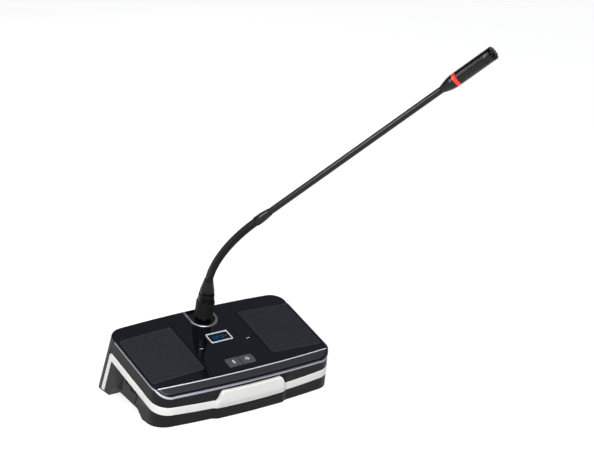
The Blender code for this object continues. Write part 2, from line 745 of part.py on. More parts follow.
for side_name, side in (("left", -1), ("right", 1)):
    grille = within(cover_sheet("grille_" + side_name, GRILLE_METAL),
                    top_prism("grille_limit_" + side_name, grille_outline(side), -OVERRUN, CUT_DEPTH))
    cut(grille, grille_holes("grille_holes_" + side_name, side))
    frame = speaker_frame_at(side)
    bowl = SPEAKER_RADIUS - SPEAKER_RIM_WIDTH
    hub = SPEAKER_NECK_RADIUS - SPEAKER_RIM_WIDTH
    tip = CONE_THICKNESS
    turned("speaker_" + side_name, [
        (tip, -SPEAKER_NECK_DEPTH), (hub, -SPEAKER_NECK_DEPTH), (bowl, -SPEAKER_RIM_DEPTH), (bowl, 0),
        (SPEAKER_RADIUS, 0), (SPEAKER_RADIUS, -SPEAKER_RIM_DEPTH), (SPEAKER_NECK_RADIUS, -SPEAKER_NECK_DEPTH),
        (SPEAKER_NECK_RADIUS, -SPEAKER_DEPTH), (tip, -SPEAKER_DEPTH)], frame, STEEL)
    floor = SPEAKER_NECK_DEPTH - GAP
    lip = SPEAKER_RIM_DEPTH - 2 * CONE_THICKNESS
    turned("cone_" + side_name, [
        (tip, -floor), (hub - GAP, -floor), (bowl - GAP, -lip), (bowl - GAP, -lip + CONE_THICKNESS),
        (hub - GAP, -floor + CONE_THICKNESS), (tip, -floor + CONE_THICKNESS)], frame, CONE_PAPER)

# White band: a thin shell of the walls, kept where a bent strip seen from the side passes through it


def band_outline(grow=0.0):
    """The band seen from the side: parallel to the top, round the apex and down the rear leg."""
    rise = grow / math.cos(TOP_TILT)
    leg = math.atan(REAR_SLANT)
    spread = grow / math.cos(leg)
    leg_width = BAND_LEG_WIDTH / math.cos(leg)
    front = FRONT_FOOT_Y - 2 * OVERRUN - BLOCK_HEIGHT
    upper, lower = BAND_UPPER_Z + rise, BAND_LOWER_Z - rise
    outer, inner = BAND_LEG_Y + spread, BAND_LEG_Y - leg_width - spread
    outer_apex_y = (outer - REAR_SLANT * upper) / (1 + REAR_SLANT * SLOPE)
    inner_apex_y = (inner - REAR_SLANT * lower) / (1 + REAR_SLANT * SLOPE)
    end_z = BAND_LEG_END_Z - grow
    return rounded([
        (front, upper + SLOPE * front, 0),
        (outer_apex_y, upper + SLOPE * outer_apex_y, BAND_OUTER_CORNER),
        (outer - REAR_SLANT * end_z, end_z, 0),
        (inner - REAR_SLANT * end_z, end_z, 0),
        (inner_apex_y, lower + SLOPE * inner_apex_y, BAND_INNER_CORNER),
        (front, lower + SLOPE * front, 0)])


BAND_HEIGHT = BAND_WIDTH / math.cos(TOP_TILT)
BAND_LOWER_Z = BAND_UPPER_Z - BAND_HEIGHT


def ease(x, full, fall):
    """One up to a distance from the middle, then a smooth fall to nothing."""
    share = min(max((abs(x) - full) / fall, 0), 1)
    return (1 + math.cos(math.pi * share)) / 2


def block_places():
    """Where the block is sectioned: closely at its two ends, where it falls away and draws in."""
    ends = [BLOCK_HALF_LENGTH + (BLOCK_SHOULDER + BLOCK_FLARE - BLOCK_HALF_LENGTH) * step / BLOCK_STEPS
            for step in range(BLOCK_STEPS + 1)]
    return [-x for x in reversed(ends)] + [0.0] + ends


def band_foot(x):
    """The height of the band's lower edge on the front wall."""
    return BAND_LOWER_Z + SLOPE * front_wall_y(x, BAND_LOWER_Z)


def block_sections(grow=0.0):
    """The raised middle of the band, section by section: its height above the band's lower edge and how far
    it stands proud both fall off at the ends, until it sinks into the band."""
    sections = []
    for x in block_places():
        base = band_foot(x)
        rise = ease(x, BLOCK_HALF_LENGTH, BLOCK_RAMP) * (BLOCK_HEIGHT - BAND_HEIGHT)
        proud = ease(x, BLOCK_SHOULDER, BLOCK_FLARE)
        top = base + BAND_HEIGHT - PROUD + rise + grow
        crease = base + BLOCK_CREASE_HEIGHT
        back = BLOCK_BACK + grow
        lift = OVERRUN if grow else 0.0
        lower_lift = BLOCK_LOWER_PROUD * proud + lift
        upper_lift = BLOCK_PROUD * proud + lift
        sections.append([
            (x, front_wall_y(x, base) + back, base - grow),
            (x, front_wall_y(x, base) - lower_lift, base - grow),
            (x, front_wall_y(x, crease) - upper_lift, crease),
            (x, front_wall_y(x, top) - upper_lift, top),
            (x, front_wall_y(x, top) + back, top)])
    return sections


def band_piece(name, material, grow=0.0):
    """The band with its block. Grown, it is the pocket that the band lies in."""
    outward = -PROUD if not grow else -OVERRUN / 2
    shell = cut(walls(name, outward, material), walls(name + "_core", BAND_THICKNESS + grow))
    within(shell, side_prism(name + "_bend", band_outline(grow), -SIDE_REACH, SIDE_REACH))
    return join(shell, solid(name + "_block", block_sections(grow)))


trim_band = band_piece("trim_band", WHITE_SATIN)

# Housing: walls, a floor over the arch, and the bulge below the block


def bulge_sections():
    """The lower front, drawn out below the block as far as the block's lower edge stands out."""
    sections = []
    for x in block_places():
        top = band_foot(x) + BAND_THICKNESS
        lift = BLOCK_LOWER_PROUD * ease(x, BLOCK_SHOULDER, BLOCK_FLARE)
        sections.append([(x, front_wall_y(x, z) + offset, z) for z, offset in (
            (FOOT_PROUD, WALL / 2), (FOOT_PROUD, -lift), (top, -lift), (top, WALL / 2))])
    return sections


cavity = walls("cavity", WALL, bottom=FOOT_PROUD + WALL)
cut(cavity, side_prism("arch_cover", arch_outline(WALL), -SIDE_REACH, SIDE_REACH))

housing = walls("housing", 0.0, MATT_GREY, bottom=FOOT_PROUD)
within(housing, below_top("housing_top", COVER_THICKNESS + GAP))
join(housing, solid("bulge", bulge_sections()))
cut(housing, side_prism("arch", arch_outline(), -SIDE_REACH, SIDE_REACH), cavity,
    band_piece("band_pocket", None, GAP))


def screw_places():
    for side_name, side in (("left", -1), ("right", 1)):
        yield "front_" + side_name, side * SCREW_X, BASE_PLATE_FRONT_Y + SCREW_INSET_Y
        yield "rear_" + side_name, side * SCREW_X, BASE_PLATE_REAR_Y - SCREW_INSET_Y


ROOF_TILT = math.atan2(arch_roof(BASE_PLATE_REAR_Y) - arch_roof(BASE_PLATE_FRONT_Y),
                       BASE_PLATE_REAR_Y - BASE_PLATE_FRONT_Y)
ROOF_NORMAL = Vector((0, -math.sin(ROOF_TILT), math.cos(ROOF_TILT)))
plate_front_z = arch_roof(BASE_PLATE_FRONT_Y) - GAP
plate_rear_z = arch_roof(BASE_PLATE_REAR_Y) - GAP
base_plate = side_prism("base_plate", [
    (BASE_PLATE_FRONT_Y, plate_front_z), (BASE_PLATE_REAR_Y, plate_rear_z),
    (BASE_PLATE_REAR_Y, plate_rear_z - BASE_PLATE_THICKNESS),
    (BASE_PLATE_FRONT_Y, plate_front_z - BASE_PLATE_THICKNESS)],
    -BASE_PLATE_HALF_WIDTH, BASE_PLATE_HALF_WIDTH, MATT_GREY)

for place, x, y in screw_places():
    frame = axis_frame(Vector((x, y, arch_roof(y))), ROOF_NORMAL)
    join(housing, turned("boss_" + place, [(BOSS_RADIUS, WALL / 2), (BOSS_RADIUS, BOSS_HEIGHT)], frame,
                         sides=HOSE_SIDES))
    head = -GAP - BASE_PLATE_THICKNESS - GAP
    hole = SCREW_SHANK_RADIUS + GAP
    cut(housing, turned("screw_hole_" + place, [(hole, -OVERRUN / 2), (hole, SCREW_LENGTH + GAP)], frame,
                        sides=HOSE_SIDES))
    cut(base_plate, turned("plate_hole_" + place, [(hole, -OVERRUN / 2), (hole, OVERRUN / 2)], frame,
                           sides=HOSE_SIDES))
    turned("screw_" + place, [
        (SCREW_DOME_RADIUS, head - SCREW_HEAD_HEIGHT), (SCREW_HEAD_RADIUS, head - SCREW_HEAD_HEIGHT / 2),
        (SCREW_HEAD_RADIUS, head), (SCREW_SHANK_RADIUS, head), (SCREW_SHANK_RADIUS, SCREW_LENGTH)],
        frame, STEEL, sides=HOSE_SIDES)

# Rubber foot strips in shallow grooves

for name, y in (("foot_front", 0.0), ("foot_rear", FOOT_REAR_Y)):
    half, deep = FOOT_LENGTH / 2, FOOT_WIDTH / 2
    block(name, -half, half, y - deep, y + deep, 0, FOOT_DEPTH, RUBBER)
    cut(housing, block(name + "_groove", -half - GAP, half + GAP, y - deep - GAP, y + deep + GAP,
                       -OVERRUN, FOOT_DEPTH + GAP))

# Bare side plates below the band


def side_plate(name, side, material, grow=0.0):
    """A flat plate whose upper edge runs along the band. Grown, it is the pocket that the plate lies in."""
    front, rear = PLATE_FRONT_Y - grow, PLATE_REAR_Y + grow
    lower_front = PLATE_LOWER_Z - grow
    lower_rear = lower_front + SLOPE * (rear - front) / 2
    upper = BAND_LOWER_Z - PLATE_BAND_MARGIN + grow
    outline = rounded([
        (front + PLATE_LEAN, lower_front, PLATE_CORNER), (rear + PLATE_LEAN, lower_rear, PLATE_CORNER),
        (rear - PLATE_LEAN / 2, upper + SLOPE * rear, PLATE_CORNER),
        (front, upper + SLOPE * front, PLATE_CORNER)])
    outside = HALF_WIDTH + (PROUD if not grow else OVERRUN)
    inside = HALF_WIDTH - PLATE_THICKNESS - grow
    return side_prism(name, outline, side * outside, side * inside, material)


for side_name, side in (("left", -1), ("right", 1)):
    side_plate("side_plate_" + side_name, side, MATT_GREY)
    cut(housing, side_plate("plate_pocket_" + side_name, side, None, GAP))

# Cable sockets, set square to the rear wall

REAR_OUTWARD = Vector((0, 1, REAR_SLANT)).normalized()
for side_name, side in (("left", -1), ("right", 1)):
    wall_point = Vector((side * CABLE_SOCKET_X, REAR_FOOT_Y - REAR_SLANT * CABLE_SOCKET_Z, CABLE_SOCKET_Z))
    frame = axis_frame(wall_point, REAR_OUTWARD)
    turned("cable_socket_" + side_name, [
        (CABLE_SOCKET_AXLE, -CABLE_SOCKET_RECESS), (CABLE_SOCKET_BORE, -CABLE_SOCKET_RECESS),
        (CABLE_SOCKET_BORE, PROUD), (CABLE_SOCKET_RADIUS, PROUD),
        (CABLE_SOCKET_RADIUS, -CABLE_SOCKET_LENGTH), (CABLE_SOCKET_AXLE, -CABLE_SOCKET_LENGTH)],
        frame, NECK_BLACK)
    hole = CABLE_SOCKET_RADIUS + GAP
    cut(housing, turned("socket_hole_" + side_name, [(hole, -OVERRUN), (hole, OVERRUN)], frame))

# Microphone plug and its lock ring

plug_shell = turned("plug_shell", [
    (HOSE_BORE, -SPIGOT_DEPTH), (SPIGOT_RADIUS, -SPIGOT_DEPTH), (SPIGOT_RADIUS, RING_START + GAP),
    (RING_BORE - GAP, RING_START + GAP), (RING_BORE - GAP, RING_END + GAP),
    (SHELL_BAND_RADIUS, RING_END + GAP), (SHELL_BAND_TOP_RADIUS, SHELL_BAND_END),
    (SHELL_SHOULDER_RADIUS - SHELL_GROOVE, SHELL_BAND_END),
    (SHELL_SHOULDER_RADIUS - SHELL_GROOVE, SHELL_BAND_END + SHELL_GROOVE),
    (SHELL_SHOULDER_RADIUS, SHELL_BAND_END + SHELL_GROOVE), (SHELL_SHOULDER_RADIUS, SHELL_SHOULDER_END),
    (SHELL_WAIST_RADIUS, SHELL_WAIST_HEIGHT), (SHELL_TOP_RADIUS, SHELL_END - LINK_END)]
    + [(math.sqrt((BALL_RADIUS + GAP) ** 2 - offset ** 2), SHELL_END - offset)
       for offset in (LINK_END, BALL_RADIUS / 2, BALL_RADIUS - LINK_END / 2)]
    + [(HOSE_BORE, SHELL_END - math.sqrt((BALL_RADIUS + GAP) ** 2 - HOSE_BORE ** 2))],
    plug_frame, NECK_BLACK, sides=HEAD_SIDES, loop=True)

lock_ring = turned("lock_ring", [
    (RING_BORE, RING_START), (RING_RADIUS - RING_FLUTE, RING_START),
    (RING_RADIUS, RING_START + 2 * RING_FLUTE), (RING_RADIUS, RING_END - 2 * RING_FLUTE),
    (RING_RADIUS - RING_FLUTE, RING_END), (RING_BORE, RING_END)],
    plug_frame, RING_BLACK, loop=True)

# Flexible hose: the links follow a smooth bend from the plug's axis to the tube's

LEAN = Vector((math.cos(LEAN_ELEVATION) * math.cos(LEAN_AZIMUTH),
               math.cos(LEAN_ELEVATION) * math.sin(LEAN_AZIMUTH), math.sin(LEAN_ELEVATION)))
BEND_AXIS = TOP_NORMAL.cross(LEAN).normalized()
TOTAL_BEND = TOP_NORMAL.angle(LEAN)
LINK_PITCH = HOSE_LENGTH / HOSE_LINKS


def hose_stations():
    """The centre of each joint of the hose and the direction of the link that starts there."""
    point = on_top(0, PLUG_RUN) + TOP_NORMAL * SHELL_END
    stations = []
    for index in range(HOSE_LINKS):
        share = ((index + 0.5) / HOSE_LINKS) ** HOSE_BEND_POWER
        direction = Matrix.Rotation(TOTAL_BEND * share, 3, BEND_AXIS) @ TOP_NORMAL
        stations.append((point.copy(), direction))
        point += direction * LINK_PITCH
    stations.append((point, LEAN.copy()))
    return stations


def ball_profile():
    """The ball that starts a link, from the bore out to the shoulder."""
    start = math.asin(HOSE_BORE / BALL_RADIUS)
    end = math.pi - math.acos(LINK_END / BALL_RADIUS)
    angles = [start + (end - start) * step / BALL_STEPS for step in range(BALL_STEPS + 1)]
    return [(BALL_RADIUS * math.sin(angle), -BALL_RADIUS * math.cos(angle)) for angle in angles]


def cup_profile(centre):
    """The cup that ends a link, from its rim down to the bore."""
    radius = BALL_RADIUS + GAP
    start = math.acos(LINK_END / radius)
    end = math.asin(HOSE_BORE / radius)
    angles = [start + (end - start) * step / CUP_STEPS for step in range(CUP_STEPS + 1)]
    return [(radius * math.sin(angle), centre - radius * math.cos(angle)) for angle in angles]


def rib_profile():
    """Ribs from the shoulder to the rim: a crest and a valley each."""
    length = LINK_PITCH - 2 * LINK_END
    pitch = length / RIBS_PER_LINK
    points = [(HOSE_RADIUS - RIB_DEPTH, LINK_END)]
    for rib in range(RIBS_PER_LINK):
        start = LINK_END + pitch * rib
        points.append((HOSE_RADIUS, start + pitch / 2))
        points.append((HOSE_RADIUS - RIB_DEPTH, start + pitch))
    return points


stations = hose_stations()
for index, (point, direction) in enumerate(stations[:-1]):
    turned("hose_link_%d" % (index + 1), ball_profile() + rib_profile() + cup_profile(LINK_PITCH),
           axis_frame(point, direction), NECK_BLACK, sides=HOSE_SIDES, loop=True)

# Collar, tube and head, on one line

neck_end, lean = stations[-1]
lean_frame = axis_frame(neck_end, lean)
collar = turned("collar", ball_profile() + [
    (COLLAR_RADIUS - RIB_DEPTH, LINK_END), (COLLAR_RADIUS, LINK_END + 2 * RIB_DEPTH),
    (COLLAR_RADIUS, COLLAR_LENGTH / 2), (COLLAR_END_RADIUS, COLLAR_LENGTH - 2 * RIB_DEPTH),
    (COLLAR_END_RADIUS - RIB_DEPTH, COLLAR_LENGTH), (TUBE_RADIUS + GAP, COLLAR_LENGTH),
    (TUBE_RADIUS + GAP, COLLAR_LENGTH - TUBE_SEAT), (HOSE_BORE, COLLAR_LENGTH - TUBE_SEAT)],
    lean_frame, NECK_BLACK, sides=HEAD_SIDES, loop=True)

TUBE_START = COLLAR_LENGTH - TUBE_SEAT + GAP
TUBE_TOP = COLLAR_LENGTH + TUBE_LENGTH
tube = turned("tube", [
    (HOSE_BORE, TUBE_START), (TUBE_RADIUS, TUBE_START), (TUBE_RADIUS, TUBE_TOP), (HOSE_BORE, TUBE_TOP)],
    lean_frame, NECK_BLACK, sides=HEAD_SIDES, loop=True)

TAIL_END = TUBE_TOP + TAIL_LENGTH
tail_profile = [(TUBE_RADIUS + (HEAD_RADIUS - TUBE_RADIUS) * math.sin(math.pi / 2 * step / TAIL_STEPS),
                 TUBE_TOP + GAP + (TAIL_LENGTH - GAP) * step / TAIL_STEPS) for step in range(TAIL_STEPS + 1)]
head_tail = turned("head_tail", [(HOSE_BORE, TUBE_TOP + GAP)] + tail_profile + [
    (HEAD_RADIUS - SPIGOT_SEAT, TAIL_END), (HEAD_RADIUS - SPIGOT_SEAT, TAIL_END + LIGHT_WIDTH + 2 * GAP),
    (HOSE_BORE, TAIL_END + LIGHT_WIDTH + 2 * GAP)], lean_frame, NECK_BLACK, sides=HEAD_SIDES, loop=True)

light_ring = turned("light_ring", [
    (HEAD_RADIUS - SPIGOT_SEAT + GAP, TAIL_END + GAP), (HEAD_RADIUS + PROUD / 2, TAIL_END + GAP),
    (HEAD_RADIUS + PROUD / 2, TAIL_END + LIGHT_WIDTH),
    (HEAD_RADIUS - SPIGOT_SEAT + GAP, TAIL_END + LIGHT_WIDTH)],
    lean_frame, LIGHT_RED, sides=HEAD_SIDES, loop=True)

SLEEVE_START = TAIL_END + LIGHT_WIDTH + GAP
SLEEVE_END = SLEEVE_START + SLEEVE_LENGTH
sleeve_bore = HEAD_RADIUS - SPIGOT_SEAT + GAP
head_sleeve = turned("head_sleeve", [
    (sleeve_bore, SLEEVE_START), (HEAD_RADIUS, SLEEVE_START), (HEAD_RADIUS, SLEEVE_END),
    (sleeve_bore, SLEEVE_END)], lean_frame, NECK_BLACK, sides=HEAD_SIDES, loop=True)

GRID_START = SLEEVE_END + GAP
GRID_END = GRID_START + GRID_LENGTH
grid_profile = [(sleeve_bore, GRID_END - GRID_END_WALL), (sleeve_bore, GRID_START), (HEAD_RADIUS, GRID_START)]
for step in range(ROUNDING_STEPS + 1):
    angle = math.pi / 2 * step / ROUNDING_STEPS
    grid_profile.append((HEAD_RADIUS - GRID_ROUNDING * (1 - math.cos(angle)),
                         GRID_END - GRID_ROUNDING * (1 - math.sin(angle))))
head_grid = turned("head_grid", grid_profile, lean_frame, NECK_BLACK, sides=HEAD_SIDES)

slot_across = lean.cross(BEND_AXIS)
for slot in range(GRID_SLOTS):
    middle = GRID_SLOT_PITCH * (slot - (GRID_SLOTS - 1) / 2)
    low, high = middle - GRID_SLOT_WIDTH / 2, middle + GRID_SLOT_WIDTH / 2
    corners = [(-OVERRUN, low), (OVERRUN, low), (OVERRUN, high), (-OVERRUN, high)]
    cut(head_grid, solid("grid_slot_%d" % (slot + 1), [
        [neck_end + lean * height + BEND_AXIS * u + slot_across * v for u, v in corners]
        for height in (GRID_END - GRID_SLOT_DEPTH, GRID_END + OVERRUN)]))

CAPSULE_END = GRID_END - GRID_END_WALL - GAP
capsule = turned("capsule", [
    (sleeve_bore - GAP, SLEEVE_END - CAPSULE_RADIUS), (sleeve_bore - GAP, CAPSULE_END)],
    lean_frame, GRILLE_METAL, sides=HEAD_SIDES)
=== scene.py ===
"""Conference delegate unit on a pale studio floor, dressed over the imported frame.

Metres, in the frame's own axes: +X along the unit, -Y towards the delegate and +Z up. A place on the
sloped top is given in plan (x and y), or by x and the run down the slope from the rear edge, and by its
depth below the outer face.
"""

import math

import bmesh
import bpy
import numpy as np
from mathutils import Matrix, Vector, geometry


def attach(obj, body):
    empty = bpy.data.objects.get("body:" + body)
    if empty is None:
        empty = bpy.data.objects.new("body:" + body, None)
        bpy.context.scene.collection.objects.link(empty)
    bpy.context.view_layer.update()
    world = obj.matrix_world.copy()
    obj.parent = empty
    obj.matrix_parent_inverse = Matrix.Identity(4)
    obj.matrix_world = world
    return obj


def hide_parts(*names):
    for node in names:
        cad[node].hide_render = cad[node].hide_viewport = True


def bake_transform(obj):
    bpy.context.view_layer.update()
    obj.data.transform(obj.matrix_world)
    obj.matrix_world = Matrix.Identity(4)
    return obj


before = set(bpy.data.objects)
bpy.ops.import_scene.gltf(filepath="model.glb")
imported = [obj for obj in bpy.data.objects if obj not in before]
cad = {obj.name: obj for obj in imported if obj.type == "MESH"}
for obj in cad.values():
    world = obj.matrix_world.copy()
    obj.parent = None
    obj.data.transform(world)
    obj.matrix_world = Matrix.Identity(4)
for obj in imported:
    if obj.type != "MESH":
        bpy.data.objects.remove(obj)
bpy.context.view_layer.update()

# Base unit, as the frame has it

HALF_WIDTH = 0.100
REAR_EDGE_Y, REAR_EDGE_Z = 0.098, 0.0719
TOP_TILT, FACET_TILT = math.radians(15.9), math.radians(48.0)
CREASE_RUN, CREASE_BOW, CROWN_RADIUS = 0.1069, 0.573, 1.195
FRONT_FOOT_Y, FRONT_LEAN, FRONT_BOW, FRONT_CORNER = -0.00675, math.radians(9.1), 0.600, 0.018
REAR_FOOT_Y, REAR_CORNER = 0.133, 0.015
COVER_THICKNESS, GAP, PROUD = 0.0015, 0.0003, 0.0003

TRIM_THICKNESS, TRIM_BEAD, TRIM_REAR_Y, TRIM_FADE = 0.0006, 0.0003, 0.082, 0.0010
SEAM_X, PANEL_FRONT_RUN = 0.0362, 0.1035
STRIP_BORDER, STRIP_THICKNESS = 0.0016, 0.0005
LINE_HALF_LENGTH, LINE_WIDTH, LINE_RISE = 0.0962, 0.0011, 0.0004

GRILLE_INNER_X, GRILLE_OUTER_X = 0.0390, 0.0966
GRILLE_REAR_RUN, GRILLE_FRONT_RUN, GRILLE_CORNER = 0.0183, 0.0910, 0.0035
GRILLE_BORDER, BORDER_SHEET, GRILLE_SHEET, CLOTH_DEPTH = 0.0011, 0.00022, 0.0006, 0.0011
HOLE_COLUMNS, HOLE_ROWS, HOLE_RADIUS, HOLE_SIDES = 25, 63, 0.00062, 12
FIELD_MARGIN, FIELD_DROP, CLOTH_INSET, CLOTH_CORNER = 0.00025, 0.00002, 0.0005, 0.003
GROOVE_RUN, GROOVE_HALF, GROOVE_DEPTH = PANEL_FRONT_RUN + GAP / 2, 0.00035, 0.00022
GROOVE_START, GROOVE_FADE, GROOVE_SPREAD, GROOVE_END = SEAM_X + 0.0012, 0.0935, 0.0015, 0.0950

BAY_RADIUS, BAY_REAR_RIM, PLUG_RUN = 0.0154, 0.0010, 0.0164
BAY_TRIM_WIDTH, BAY_TRIM_RISE = 0.0026, 0.0008
WELL_THICKNESS, WELL_LAP, WELL_REAR_RUN, WELL_CORNER = 0.0020, 0.0016, 0.0037, 0.0008
SOCKET_RADIUS, SOCKET_HEIGHT, SOCKET_DEPTH, SOCKET_BORE = 0.0078, 0.0042, 0.0130, 0.0053
SOCKET_FLOOR, SOCKET_LINE = 0.0025, 0.0002

DISPLAY_RUN, DISPLAY_WIDTH, DISPLAY_HEIGHT = 0.0495, 0.0246, 0.0148
DISPLAY_FRAME, DISPLAY_CORNER, DISPLAY_INNER_CORNER = 0.0011, 0.0013, 0.0006
GLASS_RECESS, GLASS_CORNER = 0.0003, 0.0005
KEY_RUN, KEY_WIDTH, KEY_HEIGHT, KEY_SPLIT = 0.0920, 0.0146, 0.0122, 0.0009
KEY_PROUD, KEY_CORNER, KEY_OUTER_CORNER, KEY_DEPTH, KEY_EDGE = 0.0009, 0.0004, 0.0010, 0.0030, 0.00045
KEY_CAP_CORNERS = KEY_OUTER_CORNER + 0.0008, KEY_CORNER + 0.0003
CRADLE_RUN, CRADLE_RADII, ICON_RING_RADII = 0.0002, (0.0017, 0.0012), (0.0018, 0.0011)
DASH_X, DASH_HALF, DASH_RUNS = 0.0267, 0.0020, (0.06075, 0.06135)
PRINT_THICKNESS, PRINT_CORNER = 0.00004, 0.0002

BAND_UPPER_Z, BAND_WIDTH, BAND_THICKNESS, BAND_FRONT_Y = 0.0229, 0.0084, 0.0014, 0.02
BAND_LEG_Y, BAND_LEG_WIDTH, BAND_LEG_END_Z = 0.1165, 0.0056, 0.0025
BAND_OUTER_CORNER, BAND_INNER_CORNER, BAND_ROUNDINGS = 0.005, 0.002, (0, 0.0005, 0.0012, 0.0009, 0)
BLOCK_HALF_LENGTH, BLOCK_RAMP, BLOCK_SHOULDER, BLOCK_FLARE = 0.0325, 0.0065, 0.0360, 0.0070
BLOCK_HEIGHT, BLOCK_CREASE_HEIGHT, BLOCK_PROUD, BLOCK_LOWER_PROUD = 0.0188, 0.0062, 0.0042, 0.0030

PLATE_FRONT_Y, PLATE_REAR_Y, PLATE_LOWER_Z, PLATE_LEAN = 0.0385, 0.0660, 0.0118, 0.0041
PLATE_BAND_MARGIN, PLATE_THICKNESS, PLATE_CORNER = 0.0012, 0.0008, 0.0010

CABLE_SOCKET_X, CABLE_SOCKET_Z, CABLE_SOCKET_RADIUS = 0.0180, 0.0330, 0.0075
CABLE_SOCKET_LENGTH, CABLE_SOCKET_RECESS, CABLE_SOCKET_BORE = 0.0100, 0.0030, 0.0050
PINS, PIN_RADIUS, PIN_TOP, PIN_RING = 5, 0.0005, -0.0008, 0.0028

# Microphone, along its axis

SPIGOT_RADIUS, SPIGOT_DEPTH, AXIAL_BORE = 0.0050, 0.0095, 0.0012
RING_START, RING_END, RING_RADIUS, RING_BORE = 0.0050, 0.0215, 0.0094, 0.0068
KNURLS, KNURL_TURNS, KNURL_DEPTH, KNURL_MARGIN, KNURL_FADE, RING_RIM = 44, 12, 0.00030, 0.0013, 0.0004, 0.0004
SHELL_BAND_RADIUS, SHELL_BAND_TOP_RADIUS, SHELL_BAND_END, SHELL_GROOVE = 0.0086, 0.0079, 0.0310, 0.0005
SHELL_SHOULDER_RADIUS, SHELL_SHOULDER_END = 0.0074, 0.0345
SHELL_WAIST_RADIUS, SHELL_WAIST_HEIGHT, SHELL_END, SHELL_TOP_RADIUS = 0.0059, 0.0410, 0.0475, 0.0047
HOSE_RADIUS, HOSE_LENGTH, HOSE_LINKS, HOSE_BEND_POWER = 0.0041, 0.0864, 8, 0.55
HOSE_MOUTH, RIBS_PER_SPAN, STEPS_PER_RIB, RIB_DEPTH = HOSE_RADIUS + 0.0002, 8, 8, 0.00040
SHELL_MOUTH_DEPTH, COLLAR_MOUTH_DEPTH = 0.0058, 0.0060
LEAN_AZIMUTH, LEAN_ELEVATION = math.radians(-49.3), math.radians(38.95)
COLLAR_LENGTH, COLLAR_RADIUS, COLLAR_END_RADIUS = 0.0180, 0.0048, 0.0038
TUBE_RADIUS, TUBE_LENGTH, TUBE_SEAT = 0.00335, 0.2144, 0.0060
TAIL_LENGTH, HEAD_RADIUS, LIGHT_WIDTH, SPIGOT_SEAT = 0.0165, 0.0067, 0.0037, 0.0030
SLEEVE_LENGTH, GRID_LENGTH, GRID_ROUNDING = 0.0318, 0.0103, 0.0019
RECESS_START, RECESS_LENGTH, RECESS_WIDTH, RECESS_DEPTH = 0.0075, 0.0170, 0.0042, 0.00050
RECESS_ANGLE, RECESS_EDGE = math.radians(2.0), 0.00035
GRID_SLOTS, GRID_SLOT_PITCH, GRID_SLOT_WIDTH, GRID_SLOT_DEPTH = 5, 0.0026, 0.0012, 0.0038
FIN_LAP, FIN_INSET = 0.0003, 0.00005

SLOPE, FACET_SLOPE, COS_TOP = math.tan(TOP_TILT), math.tan(FACET_TILT), math.cos(TOP_TILT)
FRONT_SLANT, REAR_SLANT = math.tan(FRONT_LEAN), (REAR_FOOT_Y - REAR_EDGE_Y) / REAR_EDGE_Z
CREASE_Y = REAR_EDGE_Y - CREASE_RUN * COS_TOP
BAND_HEIGHT = BAND_WIDTH / COS_TOP
BAND_LOWER_Z = BAND_UPPER_Z - BAND_HEIGHT
TOP_NORMAL = np.array([0.0, -math.sin(TOP_TILT), COS_TOP])

# Fineness of the meshes

EDGE = 0.00040          # rounding along an edge of a moulded sheet
HOLD = 0.00015          # a row this far past a rounding keeps the flat beside it flat
EDGE_STEPS = 4
FINE_STEPS = 600
MERGE = 1e-6
FLAT_ANGLE = math.radians(0.05)
SETTLE_ROUNDS = 12
ARC_GAP = 1e-5          # left straight between two arcs that would meet

# Camera

EYE = (-0.92700701, -1.54801827, 0.80629068)
SIGHT = Vector((0.5080195, 0.79699302, -0.3266777))
SIDE = Vector((0.84315112, -0.53767635, -0.00057268))
FOCAL_PIXELS, PHOTO_WIDTH, SENSOR, PIXELS_DOWN = 2000.0, 594.0, 36.0, 0.5


def stand(name, data):
    """A new object in the scene."""
    obj = bpy.data.objects.new(name, data)
    bpy.context.scene.collection.objects.link(obj)
    return obj


def set_camera():
    """Stands the camera where the photograph was taken from, looking along the sight line. The picture is
    shifted by half a pixel."""
    data = bpy.data.cameras.new("photo_camera")
    data.sensor_width = SENSOR
    data.lens = FOCAL_PIXELS * SENSOR / PHOTO_WIDTH
    data.shift_y = PIXELS_DOWN / PHOTO_WIDTH
    data.clip_start, data.clip_end = 0.05, 50.0
    camera = stand("photo_camera", data)
    turn = Matrix((SIDE, SIDE.cross(SIGHT), -SIGHT)).transposed().to_4x4()
    camera.matrix_world = Matrix.Translation(EYE) @ turn
    bpy.context.scene.camera = camera


# Light and floor

AIM = (0.0, 0.03, 0.08)
FLOOR_COLOUR, FLOOR_LIFT = (0.30, 0.30, 0.30, 1.0), 0.84


def softbox(name, place, width, height, radiance, colour=(1.0, 1.0, 1.0), aim=AIM, roll=0.0):
    """A rectangular studio light at a place, facing an aim point and rolled about that line. Its power is
    its radiance times pi times its area."""
    data = bpy.data.lights.new(name, "AREA")
    data.shape = "RECTANGLE"
    data.size, data.size_y = width, height
    data.energy = radiance * math.pi * width * height
    data.color = colour
    direction = Vector(aim) - Vector(place)
    turn = direction.to_track_quat("-Z", "Y").to_matrix().to_4x4() @ Matrix.Rotation(roll, 4, "Z")
    stand(name, data).matrix_world = Matrix.Translation(place) @ turn


def fill(tree, made, values):
    """Sets a node's inputs, by name or number: each is a value, or a socket to link."""
    for key, value in values.items():
        if isinstance(value, bpy.types.NodeSocket):
            tree.links.new(value, made.inputs[key])
        else:
            made.inputs[key].default_value = value


def node(tree, kind, values, output=0, **settings):
    """A new shader node with its settings and inputs; gives back one output."""
    made = tree.nodes.new("ShaderNode" + kind)
    for key, value in settings.items():
        setattr(made, key, value)
    fill(tree, made, values)
    return made.outputs[output]


def maths(tree, operation, *values, clamp=False):
    return node(tree, "Math", dict(enumerate(values)), operation=operation, use_clamp=clamp)


# Heights of the sight line, and the room's colour there
SKY = ((0.02, (0.70, 0.71, 0.72)), (0.24, (0.20, 0.205, 0.215)), (0.52, (0.160, 0.165, 0.180)),
       (0.80, (0.170, 0.175, 0.190)), (0.98, (0.55, 0.56, 0.58)))


